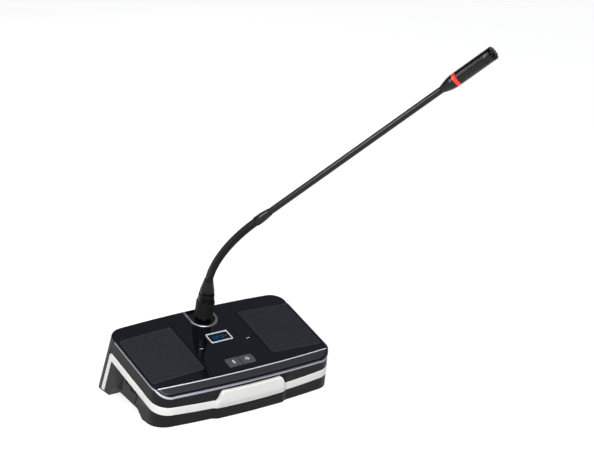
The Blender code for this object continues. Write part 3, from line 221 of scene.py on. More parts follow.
def set_world():
    """A studio room, by the height of the sight line: pale at the horizon and overhead, dim between."""
    world = bpy.data.worlds.new("studio_room")
    bpy.context.scene.world = world
    world.use_nodes = True
    tree = world.node_tree
    place = node(tree, "TexCoord", {}, "Generated")
    ramp = tree.nodes.new("ShaderNodeValToRGB")
    fill(tree, ramp, {"Fac": node(tree, "SeparateXYZ", {0: place}, "Z")})
    stops = ramp.color_ramp.elements
    stops[0].position, stops[1].position = SKY[0][0], SKY[-1][0]
    for position, _ in SKY[1:-1]:
        stops.new(position)
    for stop, (_, colour) in zip(stops, SKY):
        stop.color = (*colour, 1.0)
    fill(tree, tree.nodes["Background"], {"Color": ramp.outputs["Color"], "Strength": 1.0})


bpy.context.scene.view_settings.view_transform = "Standard"
set_camera()
set_world()
softbox("left_softbox", (-1.40, 0.16, 0.78), 1.25, 0.34, 8.0, (1.0, 0.98, 1.0), aim=(0.12, -0.05, 0.25),
        roll=math.radians(-36))
softbox("front_softbox", (-0.50, -1.30, 1.32), 1.10, 0.90, 12.5, (1.0, 0.99, 0.96))
softbox("rear_softbox", (0.35, 1.60, 0.55), 0.90, 0.40, 2.0)

# Materials

PATCH_SCALE, SPECK_SCALE, DRIFT, DUST_COLOUR = 30.0, 900.0, 0.08, (0.45, 0.44, 0.42, 1.0)


def noise(tree, place, scale, detail, rough=0.55):
    values = {"Vector": place, "Scale": scale, "Detail": detail, "Roughness": rough}
    return node(tree, "TexNoise", values, "Fac")


def new_material(name):
    """A new material with nodes, and its tree."""
    material = bpy.data.materials.new(name)
    material.use_nodes = True
    return material, material.node_tree


def surface_marks():
    """Soft uneven patches and a fine grain on any finish. Patches are smooth noise a few centimetres wide;
    grain is fine noise; dust is speckle that gathers on faces that look up."""
    group = bpy.data.node_groups.new("surface_marks", "ShaderNodeTree")
    for label, way in (("Grain Scale", "INPUT"), ("Dust", "INPUT"), ("Patch", "OUTPUT"), ("Grain", "OUTPUT"),
                       ("Dust Mask", "OUTPUT")):
        group.interface.new_socket(label, in_out=way, socket_type="NodeSocketFloat")
    given, out = group.nodes.new("NodeGroupInput").outputs, group.nodes.new("NodeGroupOutput")
    place = node(group, "TexCoord", {}, "Object")
    normal = node(group, "NewGeometry", {}, "Normal")
    upward = maths(group, "MULTIPLY_ADD", node(group, "SeparateXYZ", {0: normal}, "Z"), 0.9, 0.1, clamp=True)
    speck = maths(group, "MULTIPLY_ADD", noise(group, place, SPECK_SCALE, 6.0, 0.75), 9.0, -5.6, clamp=True)
    dust = maths(group, "MULTIPLY", maths(group, "MULTIPLY", upward, speck), given["Dust"])
    fill(group, out, {"Patch": noise(group, place, PATCH_SCALE, 3.0), "Dust Mask": dust,
                      "Grain": noise(group, place, given["Grain Scale"], 2.0)})
    return group


MARKS = surface_marks()


def finish(name, colour, roughness, metallic=0.0, specular=0.5, grain=0.0, grain_scale=4000.0, patch=0.05,
           dust=0.0, glow=None, tint=(1.0, 1.0, 1.0)):
    """A procedural material: a base colour that drifts a little in patches, roughness that follows the
    patches, a fine grain as bump and a light dust on faces that look up. A glow is a colour and a strength."""
    material, tree = new_material(name)
    marks = tree.nodes.new("ShaderNodeGroup")
    marks.node_tree = MARKS
    fill(tree, marks, {"Grain Scale": grain_scale, "Dust": dust})
    patches, specks = marks.outputs["Patch"], marks.outputs["Dust Mask"]
    dark, light = ([min(channel * share, 1.0) for channel in colour] + [1.0]
                   for share in (1 - DRIFT, 1 + DRIFT))
    drift = node(tree, "Mix", {"A": dark, "B": light, "Factor": patches}, "Result", data_type="RGBA")
    dusted = node(tree, "Mix", {"A": drift, "B": DUST_COLOUR, "Factor": specks}, "Result", data_type="RGBA")
    uneven = maths(tree, "MULTIPLY_ADD", patches, patch, roughness - patch / 2, clamp=True)
    values = {"Base Color": dusted, "Metallic": metallic, "Specular IOR Level": specular,
              "Specular Tint": (*tint, 1.0), "Roughness": maths(tree, "ADD", uneven, specks, clamp=True)}
    if grain:
        height = marks.outputs["Grain"]
        values["Normal"] = node(tree, "Bump", {"Distance": grain, "Strength": 1.0, "Height": height})
    if glow:
        values |= {"Emission Color": (*glow[:3], 1.0), "Emission Strength": glow[3]}
    fill(tree, tree.nodes["Principled BSDF"], values)
    return material


GLOSS_BLACK = finish("gloss_blue_black", (0.0022, 0.0029, 0.0052), 0.05, patch=0.02, dust=0.03,
                     tint=(0.80, 0.88, 1.0))
MATT_GREY = finish("matt_dark_grey", (0.0085, 0.0087, 0.0100), 0.45, specular=0.14, grain=0.00004,
                   grain_scale=2600.0, dust=0.04)
WHITE_SATIN = finish("white_satin", (0.82, 0.82, 0.81), 0.30, patch=0.06)
SILVER = finish("silver_plating", (0.40, 0.40, 0.46), 0.36, metallic=1.0)
BRIGHT_PLATING = finish("bright_plating", (0.86, 0.88, 0.93), 0.30, metallic=0.5)
STRIP_GREY = finish("strip_grey", (0.026, 0.0265, 0.031), 0.12, dust=0.01)
GRILLE_PAINT = finish("grille_paint", (0.023, 0.025, 0.032), 0.34, specular=0.35, grain=0.00001)
GRILLE_CLOTH = finish("grille_cloth", (0.003, 0.003, 0.003), 0.9, specular=0.1, grain=0.00006,
                      grain_scale=3000.0)
GLASS_BLACK = finish("display_glass", (0.0015, 0.002, 0.003), 0.06, specular=0.3)
KEY_GREY = finish("key_grey", (0.055, 0.058, 0.072), 0.32, grain=0.00001)
RUBBER = finish("rubber", (0.018, 0.018, 0.018), 0.75, grain=0.00005)
BOARD = finish("board_lacquer", (0.015, 0.100, 0.040), 0.35)
CHIP = finish("chip_resin", (0.018, 0.018, 0.020), 0.5, grain=0.00003)
STEEL = finish("bright_steel", (0.55, 0.55, 0.55), 0.28, metallic=1.0)
PAPER = finish("cone_paper", (0.040, 0.038, 0.036), 0.8, grain=0.00008, grain_scale=1500.0)
NECK_PAINT = finish("neck_paint", (0.0014, 0.0014, 0.0016), 0.20, specular=0.32)
SHELL_PLATING = finish("shell_paint", (0.0016, 0.0015, 0.0016), 0.34, specular=0.28)
HOSE_PAINT = finish("hose_paint", (0.0016, 0.0016, 0.0016), 0.26, specular=0.26, patch=0.06)
RING_GRIP = finish("ring_grip", (0.006, 0.006, 0.006), 0.50, specular=0.25, grain=0.00003, grain_scale=2600.0)
LIGHT_RED = finish("light_red", (0.80, 0.020, 0.012), 0.16, glow=(1.0, 0.035, 0.012, 0.45))
PRINT_WHITE = finish("white_print", (0.62, 0.63, 0.66), 0.5)
SCREEN_BLUE = finish("screen_blue", (0.0, 0.01, 0.02), 0.3, specular=0.1, glow=(0.004, 0.130, 0.300, 0.65))
SCREEN_DEEP = finish("screen_deep_blue", (0.0, 0.005, 0.01), 0.3, specular=0.1,
                     glow=(0.002, 0.060, 0.150, 0.40))

CAD_FINISHES = {
    "housing": MATT_GREY, "base_plate": MATT_GREY, "speaker_left": STEEL, "speaker_right": STEEL,
    "cone_left": PAPER, "cone_right": PAPER, "display_module": STEEL, "key_switch_left": CHIP,
    "key_switch_right": CHIP, "main_board": BOARD, "board_chip": CHIP, "foot_front": RUBBER,
    "foot_rear": RUBBER, "capsule": GRILLE_CLOTH}
for cad_name, cad_object in cad.items():
    cad_object.data.materials.clear()
    cad_object.data.materials.append(
        CAD_FINISHES.get(cad_name, STEEL if cad_name.startswith("screw") else NECK_PAINT))

# Mesh makers

join = np.concatenate


def columns(*parts):
    """Arrays laid side by side along a new last axis."""
    return np.stack(np.broadcast_arrays(*parts), axis=-1)


def unit(vectors):
    """Vectors along the last axis, brought to length one."""
    return vectors / np.linalg.norm(vectors, axis=-1, keepdims=True)


def quads(rows, width, loop_rows=False, loop_columns=False):
    """The faces of a grid of points, as indices row by row, joined round where it loops."""
    row = np.arange(rows if loop_rows else rows - 1)
    column = np.arange(width if loop_columns else width - 1)
    i, j = (index.ravel() for index in np.meshgrid(row, column, indexing="ij"))
    below, beside = (i + 1) % rows, (j + 1) % width
    return columns(i * width + j, i * width + beside, below * width + beside, below * width + j)


def place_mesh(name, mesh, material, body, stands_for, slot, sharp, flatten=False):
    """An object of a mesh whose doubled points are merged, with its flat faces joined or else its faces
    turned outwards. It is shaded smooth up to an angle, rides on a body and stands for a frame node."""
    work = bmesh.new()
    work.from_mesh(mesh)
    bmesh.ops.remove_doubles(work, verts=work.verts[:], dist=MERGE)
    if flatten:
        bmesh.ops.dissolve_limit(work, angle_limit=FLAT_ANGLE, verts=work.verts[:], edges=work.edges[:])
    else:
        loose = [edge for edge in work.edges if not edge.link_faces]
        bmesh.ops.delete(work, geom=loose, context="EDGES")
        bmesh.ops.recalc_face_normals(work, faces=work.faces[:])
    work.to_mesh(mesh)
    work.free()
    mesh.shade_smooth()
    mesh.set_sharp_from_angle(angle=math.radians(sharp))
    mesh.materials.clear()
    mesh.materials.append(material)
    obj = stand(name, mesh)
    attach(obj, body)
    if stands_for:
        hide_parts(stands_for)
    return obj


def piece(name, surfaces, material, stands_for=None, slot=None, body="base", sharp=35.0):
    """One object from (points, faces) surfaces: points in metres, faces as rows of indices."""
    points, faces, start = [], [], 0
    for part, corners in surfaces:
        points.append(np.reshape(part, (-1, 3)))
        faces += (corners + start).tolist()
        start += len(points[-1])
    mesh = bpy.data.meshes.new(name)
    mesh.from_pydata(join(points).tolist(), [], faces)
    mesh.validate()
    return place_mesh(name, mesh, material, body, stands_for, slot, sharp)


def axis_frame(origin, direction, side=None):
    """A place and three directions whose third runs along the direction: rows are side, other side, along."""
    along = unit(np.asarray(direction, float))
    if side is None:
        side = np.cross([0.0, 0.0, 1.0], along)
    side = unit(side)
    return np.asarray(origin, float), np.stack([side, np.cross(along, side), along])


def soft_corners(corners, roundings, steps=4):
    """Rounds the corners of open outlines, a row of corners each: every corner gives way to a curve that
    leaves one edge and meets the next at its rounding's distance, or half the edge if that is less."""
    share = np.linspace(0, 1, steps + 1)[:, None]
    parts = [corners[:, :1]]
    for index in range(1, corners.shape[1] - 1):
        here = corners[:, index]
        edges = [corners[:, index + step] - here for step in (-1, 1)]
        lengths = [np.linalg.norm(edge, axis=1) for edge in edges]
        reach = np.minimum(roundings[index], np.minimum(*lengths) / 2.02)
        start, end = (here + edge * (reach / np.maximum(length, 1e-12))[:, None]
                      for edge, length in zip(edges, lengths))
        curve = ((1 - share) ** 2 * start[:, None] + 2 * share * (1 - share) * here[:, None]
                 + share ** 2 * end[:, None])
        parts.append(curve if roundings[index] > 0 else here[:, None])
    return join([*parts, corners[:, -1:]], axis=1)


def soft_profile(corners, steps=4):
    """One outline through (u, v, rounding) corners."""
    corners = np.asarray(corners, float)
    return soft_corners(corners[None, :, :2], corners[:, 2], steps)[0]


def circle(steps):
    return np.linspace(0, math.tau, steps, endpoint=False)


def turned(profile, place, sides=64, closed=False, flute=None):
    """A surface of revolution: radius and height along the profile, carried round the place's axis by an
    angle. flute, where given, adds a radius that depends on height and angle."""
    origin, axes = place
    profile, angle = np.asarray(profile, float), circle(sides)
    radius, height = (np.repeat(profile[:, column:column + 1], sides, axis=1) for column in (0, 1))
    if flute is not None:
        radius = radius + flute(radius, height, angle)
    local = columns(radius * np.cos(angle), radius * np.sin(angle), height)
    return origin + local @ axes, quads(len(profile), sides, loop_rows=closed, loop_columns=True)


def smooth_step(value):
    """Nought to one, level at both ends."""
    share = np.clip(value, 0.0, 1.0)
    return share * share * (3 - 2 * share)


def ease(x, full, fall):
    """One up to a distance from the middle, then a half cosine down to nothing."""
    return (1 + np.cos(np.pi * np.clip((np.abs(x) - full) / fall, 0, 1))) / 2


# Places on the base unit


def crown_drop(x):
    return np.square(x) / (2 * CROWN_RADIUS)


def crease_y(x):
    return CREASE_Y + np.square(x) / (2 * CREASE_BOW)


def plan(x, run):
    """Where an outline drawn on the flat slope, pushed square to it, meets the crowned top, in plan."""
    return columns(x, REAR_EDGE_Y - run * COS_TOP + crown_drop(x) * COS_TOP * math.sin(TOP_TILT))


def skin(place, depth=0.0):
    """A plan place lifted to the outer face: behind the crease the slope less the crown, and ahead of it
    the facet that falls from the crease. Depth is let down below that."""
    x, y = place[..., 0], place[..., 1]
    corner = crease_y(x)
    top = REAR_EDGE_Z + SLOPE * (np.maximum(y, corner) - REAR_EDGE_Y) - crown_drop(x)
    return columns(x, y, top - FACET_SLOPE * np.maximum(corner - y, 0) - depth / COS_TOP)


def skin_height(place):
    return skin(place)[..., 2]


def wall_path(height, inset=0.0, steps=120):
    """The right half of the walls' outline from the middle of the front to the middle of the rear: a bow,
    a corner arc, a straight side, a corner arc and a straight rear. The front and rear walls lean, so each
    point and its height, a function of its place, are settled together in a few rounds."""
    half = HALF_WIDTH - inset
    front_radius, rear_radius = FRONT_CORNER - inset, REAR_CORNER - inset
    bow_end, rear_end = half - front_radius, half - rear_radius
    share = np.linspace(0, 1, steps)
    turn = share * np.pi / 2
    x = join([share * bow_end, bow_end + front_radius * np.sin(turn), np.full(steps, half),
              rear_end + rear_radius * np.cos(turn), (1 - share) * rear_end])
    z = np.full(len(x), BAND_UPPER_Z)
    corner_y = FRONT_FOOT_Y + bow_end ** 2 / (2 * FRONT_BOW) + inset + front_radius
    rear_y = REAR_FOOT_Y - inset - rear_radius
    for _ in range(SETTLE_ROUNDS):
        bow, arc, side, back, rear = np.split(z, 5)
        side_y = corner_y - FRONT_SLANT * side
        y = join([FRONT_FOOT_Y - FRONT_SLANT * bow + np.square(share * bow_end) / (2 * FRONT_BOW) + inset,
                  corner_y - FRONT_SLANT * arc - front_radius * np.cos(turn),
                  side_y + share * (rear_y - REAR_SLANT * side - side_y),
                  rear_y - REAR_SLANT * back + rear_radius * np.sin(turn),
                  rear_y + rear_radius - REAR_SLANT * rear])
        z = height(columns(x, y))
    path = columns(x, y, z)
    return path[join([[True], np.linalg.norm(np.diff(path, axis=0), axis=1) > MERGE])]


def across(path):
    """Unit directions square to a path in plan: outwards, for one that runs counter-clockwise."""
    along = unit(np.gradient(path[:, :2], axis=0))
    return columns(along[:, 1], -along[:, 0])


def both_sides(half):
    """A right-hand path from the middle, joined to its mirror image: left end to right end."""
    return join([half[:0:-1] * ([-1.0] + [1.0] * (half.shape[1] - 1)), half])


def stretch(path, start, end, count):
    """Points at even distances along a path, between two fractional places on it; the last is left out."""
    def sampled(places, known, points):
        return columns(*[np.interp(places, known, column) for column in np.transpose(points)])

    fine = sampled(np.linspace(start, end, FINE_STEPS), np.arange(len(path)), path)
    travel = join([[0], np.cumsum(np.linalg.norm(np.diff(fine, axis=0), axis=1))])
    return sampled(np.linspace(0, travel[-1], count, endpoint=False), travel, fine)


def crossing(values):
    """The fractional place along a path where a value turns from below nought to above."""
    index = int(np.argmax((values[:-1] < 0) & (values[1:] >= 0)))
    return index + values[index] / (values[index] - values[index + 1])


def run_box(x0, x1, rear_run, front_run, radii, spacing=0.0015, steps=8):
    """A window on the slope, in plan, counter-clockwise: its corners are arcs and its sides have evenly
    spaced points. Radii: one, or rear left, front left, front right and rear right."""
    corners = np.array([(x0, rear_run), (x0, front_run), (x1, front_run), (x1, rear_run)])
    arcs, parts = [], []
    for index, radius in enumerate(np.broadcast_to(radii, 4)):
        here = corners[index]
        back, ahead = unit(corners[index - 1] - here), unit(corners[(index + 1) % 4] - here)
        angle = np.linspace(0, np.pi / 2, steps + 1)[:, None]
        curve = here + radius * (back + ahead) - radius * (ahead * np.cos(angle) + back * np.sin(angle))
        arcs.append(curve if radius > 0 else here[None])
    for arc, following in zip(arcs, arcs[1:] + arcs[:1]):
        span = following[0] - arc[-1]
        count = max(int(np.linalg.norm(span) / spacing), 1)
        parts += [arc, arc[-1] + span * np.arange(1, count)[:, None] / count]
    loop = join(parts)
    loop = loop[np.linalg.norm(loop - np.roll(loop, 1, axis=0), axis=1) > MERGE]
    return plan(loop[:, 0], loop[:, 1])


def middle_box(run, half, tall, radii, **fineness):
    """A window about the middle line at a run, by half its width and half its height."""
    return run_box(-half, half, run - tall, run + tall, radii, **fineness)


def inset_loop(loop, amount):
    """Each point of a closed loop moved to the loop's left along the bisector of its two edges."""
    edge = np.roll(loop, -1, axis=0) - loop
    edge /= np.maximum(np.linalg.norm(edge, axis=1, keepdims=True), 1e-12)
    left = columns(-edge[:, 1], edge[:, 0])
    before = np.roll(left, 1, axis=0)
    lean = 1 + np.sum(left * before, axis=1, keepdims=True)
    return loop + amount * (left + before) / np.maximum(lean, 0.3)


def inside(points, loops):
    """Whether each point lies inside an odd number of loops, by the edges that a ray to the right meets."""
    hits = np.zeros(len(points), int)
    for start in loops:
        end = np.roll(start, -1, axis=0)
        rises = (start[None, :, 1] > points[:, None, 1]) != (end[None, :, 1] > points[:, None, 1])
        drop = end[:, 1] - start[:, 1]
        drop[drop == 0] = 1
        reach = start[:, 0] + (points[:, None, 1] - start[:, 1]) * (end[:, 0] - start[:, 0]) / drop
        hits += np.sum(rises & (points[:, None, 0] < reach), axis=1)
    return hits % 2 == 1


def sheet(rim, windows, bottom, top=0.0, lift=skin, edge=EDGE, spacing=0.004, folds=(), lines=()):
    """A sheet over a plan outline with windows: its outer face is a height over plan, at the points of a
    grid, its edges are quarter rounds, and its inner face is the same grid let down. The rim runs
    counter-clockwise and the windows clockwise, so that both are rounded towards the material. No face
    crosses a fold, which is a line of points; lines give points alone."""
    loops = [rim] + [window[::-1] for window in windows]
    held = [inset_loop(loop, edge + HOLD) for loop in loops]
    surfaces = []
    for loop, kept in zip(loops, held):
        wall = [lift(loop, bottom)]
        for angle in np.linspace(0, np.pi / 2, EDGE_STEPS + 1):
            drawn_in = inset_loop(loop, edge * (1 - math.cos(angle)))
            wall.append(lift(drawn_in, top + edge * (1 - math.sin(angle))))
        wall.append(lift(kept, top))
        surfaces.append((np.stack(wall), quads(len(wall), len(loop), loop_columns=True)))
    low, high = rim.min(axis=0), rim.max(axis=0)
    counts = np.maximum(np.ceil((high - low) / spacing).astype(int), 2)
    grid = columns(*np.meshgrid(*map(np.linspace, low, high, counts), indexing="ij")).reshape(-1, 2)
    grid = grid[inside(grid, [inset_loop(loop, edge + 4 * HOLD) for loop in loops])]
    given = join([*held, *folds, *lines, grid])
    edges, start = [], 0
    for index, line in enumerate([*held, *folds]):
        here = start + np.arange(len(line))
        ends = columns(here, np.roll(here, -1))
        edges.append(ends if index < len(held) else ends[:-1])
        start += len(line)
    found = geometry.delaunay_2d_cdt([Vector(point) for point in given], join(edges).tolist(), [], 0, MERGE)
    places = np.array([tuple(vector) for vector in found[0]])
    origin = np.array([originals[0] if originals else -1 for originals in found[3]])
    places[origin >= 0] = given[origin[origin >= 0]]
    faces = np.array(found[2])
    faces = faces[inside(places[faces].mean(axis=1), held)]
    outer, lowered = join(loops), places.copy()
    at_edge = (origin >= 0) & (origin < len(outer))
    lowered[at_edge] = outer[origin[at_edge]]
    return surfaces + [(lift(places, top), faces), (lift(lowered, bottom), faces[:, ::-1])]


def printed(loop, depth, windows=(), spacing=0.001):
    """A thin printed shape that stands a little above a depth."""
    return sheet(loop, windows, depth, top=depth - PRINT_THICKNESS, edge=PRINT_THICKNESS / 2, spacing=spacing)


def carried(points):
    """A section carried along a path, as rows of section points along the path. Its two ends are closed by
    fans to their middles."""
    ends = [np.repeat(row.mean(axis=1, keepdims=True), points.shape[1], axis=1)
            for row in (points[:1], points[-1:])]
    rows = join([ends[0], points, ends[1]])
    return rows, quads(rows.shape[0], rows.shape[1], loop_columns=True)


def on_skin(path, section, square):
    """A section's points, each set out from a plan path along its square direction and let down to its depth,
    with the matching depths."""
    places = path[:, None] + square[:, None] * section[None, :, :1]
    return places, np.broadcast_to(section[:, 1], places.shape[:2])


# Microphone: where its joints are

PLUG_PLACE = skin(plan(0.0, PLUG_RUN))
LEAN = np.array([math.cos(LEAN_ELEVATION) * math.cos(LEAN_AZIMUTH),
                 math.cos(LEAN_ELEVATION) * math.sin(LEAN_AZIMUTH), math.sin(LEAN_ELEVATION)])
BEND_AXIS = unit(np.cross(TOP_NORMAL, LEAN))
LINK_PITCH = HOSE_LENGTH / HOSE_LINKS


def hose_joints():
    """Joint centres and link directions: each direction is the plug's axis turned towards the tube's by the
    whole bend times the share of the length raised to a power."""
    bend = math.acos(TOP_NORMAL @ LEAN)
    angle = (bend * ((np.arange(HOSE_LINKS) + 0.5) / HOSE_LINKS) ** HOSE_BEND_POWER)[:, None]
    directions = TOP_NORMAL * np.cos(angle) + np.cross(BEND_AXIS, TOP_NORMAL) * np.sin(angle)
    start = PLUG_PLACE + TOP_NORMAL * SHELL_END
    centres = start + join([np.zeros((1, 3)), np.cumsum(directions * LINK_PITCH, axis=0)])
    return centres, join([directions, LEAN[None]])


CENTRES, DIRECTIONS = hose_joints()
PLUG = axis_frame(PLUG_PLACE, TOP_NORMAL, BEND_AXIS)
STEM = axis_frame(CENTRES[-1], LEAN, -BEND_AXIS)


def hose_span(start, joint, end, sides=32):
    """One span of hose on a smooth curve from start to end that leaves and arrives along the links' own
    lines, which meet at the joint. The radius swells over each turn of the winding: the hose's radius less
    the rib's depth, plus that depth times the root of a half sine, and the winding climbs as it goes round."""
    rows = RIBS_PER_SPAN * STEPS_PER_RIB + 1
    share, angle = np.linspace(0, 1, rows)[:, None], circle(sides)
    centre = (1 - share) ** 2 * start + 2 * share * (1 - share) * joint + share ** 2 * end
    other = np.cross(unit((1 - share) * (joint - start) + share * (end - joint)), BEND_AXIS)
    phase = share * RIBS_PER_SPAN + angle / math.tau
    radius = HOSE_RADIUS - RIB_DEPTH + RIB_DEPTH * np.sqrt(np.abs(np.sin(math.pi * phase)))
    points = centre[:, None] + radius[..., None] * (np.cos(angle)[None, :, None] * BEND_AXIS
                                                    + np.sin(angle)[None, :, None] * other[:, None])
    return points, quads(rows, sides, loop_columns=True)


def dress_hose():
    """Nine spans, each across one joint, from the middle of one link to the middle of the next."""
    middles = CENTRES[:-1] + DIRECTIONS[:-1] * LINK_PITCH / 2
    starts = join([[CENTRES[0] - TOP_NORMAL * LINK_PITCH / 2], middles])
    ends = join([middles, [CENTRES[-1] + LEAN * LINK_PITCH / 2]])
    bodies = ["plug"] + ["link_%d" % (index + 1) for index in range(HOSE_LINKS)] + ["stem"]
    for index in range(HOSE_LINKS + 1):
        span = hose_span(starts[index], CENTRES[index], ends[index])
        obj = piece("hose_span_%d" % (index + 1), [span], HOSE_PAINT, body=bodies[index], sharp=60.0)
        obj.parent = None
        tuple(starts[index])
        tuple(ends[index])
        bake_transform(obj)
        if index < HOSE_LINKS:
            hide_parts("hose_link_%d" % (index + 1))


# Plug, ring and socket


def dress_plug():
    """The plug's shell is turned from one closed outline, with a mouth that the hose comes out of."""
    groove, line = SHELL_SHOULDER_RADIUS - SHELL_GROOVE, SHELL_BAND_RADIUS - 0.00025
    top, floor = SHELL_END - 0.0003, SHELL_END - SHELL_MOUTH_DEPTH
    outline = soft_profile([
        (AXIAL_BORE, -SPIGOT_DEPTH, 0), (SPIGOT_RADIUS, -SPIGOT_DEPTH, 0.0004),
        (SPIGOT_RADIUS, RING_START + GAP, 0.0001), (RING_BORE - GAP, RING_START + GAP, 0.0001),
        (RING_BORE - GAP, RING_END + GAP, 0.0001), (SHELL_BAND_RADIUS, RING_END + GAP, 0.0003),
        (SHELL_BAND_RADIUS - 0.0001, RING_END + 0.0014, 0.0001), (line, RING_END + 0.0016, 0),
        (line, RING_END + 0.0019, 0), (SHELL_BAND_RADIUS - 0.00015, RING_END + 0.0021, 0.0001),
        (SHELL_BAND_TOP_RADIUS, SHELL_BAND_END, 0.0005), (groove, SHELL_BAND_END, 0.0001),
        (groove, SHELL_BAND_END + SHELL_GROOVE, 0.0001),
        (SHELL_SHOULDER_RADIUS, SHELL_BAND_END + SHELL_GROOVE, 0.0003),
        (SHELL_SHOULDER_RADIUS, SHELL_SHOULDER_END, 0.0022),
        (SHELL_WAIST_RADIUS, SHELL_WAIST_HEIGHT, 0.0030), (SHELL_TOP_RADIUS, SHELL_END - 0.0010, 0.0006),
        (SHELL_TOP_RADIUS, top, 0.0002), (HOSE_MOUTH, top, 0.0001),
        (HOSE_MOUTH, floor, 0), (AXIAL_BORE, floor, 0)], steps=6)
    piece("plug_body", [turned(outline, PLUG, 96, closed=True)], SHELL_PLATING, "plug_shell", "neck_black",
          "plug", 30.0)


def dress_ring():
    """The ring's grip is a diamond knurl: two windings of grooves that cross, between two plain rims."""
    def knurl(radius, height, angle):
        share = (height - RING_START) / (RING_END - RING_START)
        low = smooth_step((height - RING_START - KNURL_MARGIN) / KNURL_FADE)
        high = smooth_step((RING_END - KNURL_MARGIN - height) / KNURL_FADE)
        ways = [np.abs(np.sin(KNURLS / 2 * angle + way * math.pi * KNURL_TURNS / 2 * share)) for way in (1, -1)]
        depth = KNURL_DEPTH * (radius > RING_RADIUS - 0.00005) * low * high
        return -depth * (1 - np.minimum(*ways) ** 0.7)

    rim = RING_RIM
    side = columns(RING_RADIUS, np.linspace(RING_START + rim, RING_END - rim, 72))
    outline = join([
        [(RING_BORE, RING_START), (RING_RADIUS - rim, RING_START),
         (RING_RADIUS - rim / 4, RING_START + rim / 4)],
        side,
        [(RING_RADIUS - rim / 4, RING_END - rim / 4), (RING_RADIUS - rim, RING_END), (RING_BORE, RING_END)]])
    piece("lock_ring_grip", [turned(outline, PLUG, KNURLS * 6, closed=True, flute=knurl)], RING_GRIP,
          "lock_ring", body="ring", sharp=50.0)


def dress_socket():
    """The socket's neck is a plain tube with a rolled rim and a fine line below it."""
    floor, line = SOCKET_FLOOR - SOCKET_DEPTH, SOCKET_RADIUS - SOCKET_LINE
    outline = soft_profile([
        (0.0, floor, 0), (SOCKET_BORE, floor, 0), (SOCKET_BORE, SOCKET_HEIGHT, 0.0003),
        (SOCKET_RADIUS, SOCKET_HEIGHT, 0.0005), (SOCKET_RADIUS, SOCKET_HEIGHT - 0.0012, 0.0001),
        (line, SOCKET_HEIGHT - 0.0013, 0), (line, SOCKET_HEIGHT - 0.0016, 0),
        (SOCKET_RADIUS, SOCKET_HEIGHT - 0.0017, 0.0001), (SOCKET_RADIUS, -SOCKET_DEPTH, 0.0003),
        (0.0, -SOCKET_DEPTH, 0)])
    piece("socket_neck", [turned(outline, PLUG, 80)], NECK_PAINT, "mic_socket")


# Stem: collar, tube and head

TUBE_START = COLLAR_LENGTH - TUBE_SEAT + GAP
TUBE_TOP = COLLAR_LENGTH + TUBE_LENGTH
TAIL_END = TUBE_TOP + TAIL_LENGTH
SLEEVE_START = TAIL_END + LIGHT_WIDTH + GAP
SLEEVE_END = SLEEVE_START + SLEEVE_LENGTH
GRID_START = SLEEVE_END + GAP
GRID_END = GRID_START + GRID_LENGTH
GRID_ROOT = GRID_END - GRID_SLOT_DEPTH
SPIGOT = HEAD_RADIUS - SPIGOT_SEAT
SLEEVE_BORE = SPIGOT + GAP


def dress_stem():
    seat, light_end = COLLAR_LENGTH - TUBE_SEAT, TAIL_END + LIGHT_WIDTH
    bore, ring = TUBE_RADIUS + GAP / 3, HEAD_RADIUS + PROUD / 2
    collar = soft_profile([
        (AXIAL_BORE, COLLAR_MOUTH_DEPTH, 0), (HOSE_MOUTH, COLLAR_MOUTH_DEPTH, 0),
        (HOSE_MOUTH, 0.0002, 0.0001),
        (COLLAR_RADIUS, 0.0002, 0.0004), (COLLAR_RADIUS, COLLAR_LENGTH / 2, 0.0030),
        (COLLAR_END_RADIUS, COLLAR_LENGTH - 0.0006, 0.0008), (COLLAR_END_RADIUS, COLLAR_LENGTH, 0.0002),
        (bore, COLLAR_LENGTH, 0), (bore, seat, 0), (AXIAL_BORE, seat, 0)], 6)
    tube = [(0.0, TUBE_START), (TUBE_RADIUS, TUBE_START), (TUBE_RADIUS, TUBE_TOP), (0.0, TUBE_TOP)]
    share = np.linspace(0, 1, 24)
    nose = columns(TUBE_RADIUS + (HEAD_RADIUS - TUBE_RADIUS) * np.sin(np.pi / 2 * share),
                   TUBE_TOP + GAP + (TAIL_LENGTH - GAP) * share)
    tail = join([[(0.0, TUBE_TOP + GAP)], nose, [
        (SPIGOT, TAIL_END), (SPIGOT, light_end + 2 * GAP), (0.0, light_end + 2 * GAP)]])
    light = soft_profile([
        (SLEEVE_BORE, TAIL_END + GAP / 2, 0), (ring, TAIL_END + GAP / 2, 0.0004),
        (ring, light_end + GAP / 2, 0.0004), (SLEEVE_BORE, light_end + GAP / 2, 0)])
    for name, outline, sides, closed, material, stands_for in (
            ("collar_sleeve", collar, 72, True, NECK_PAINT, "collar"),
            ("long_tube", tube, 64, False, NECK_PAINT, "tube"),
            ("tapered_tail", tail, 96, False, NECK_PAINT, "head_tail"),
            ("red_ring", light, 96, True, LIGHT_RED, "light_ring")):
        piece(name, [turned(outline, STEM, sides, closed)], material, stands_for, body="stem")


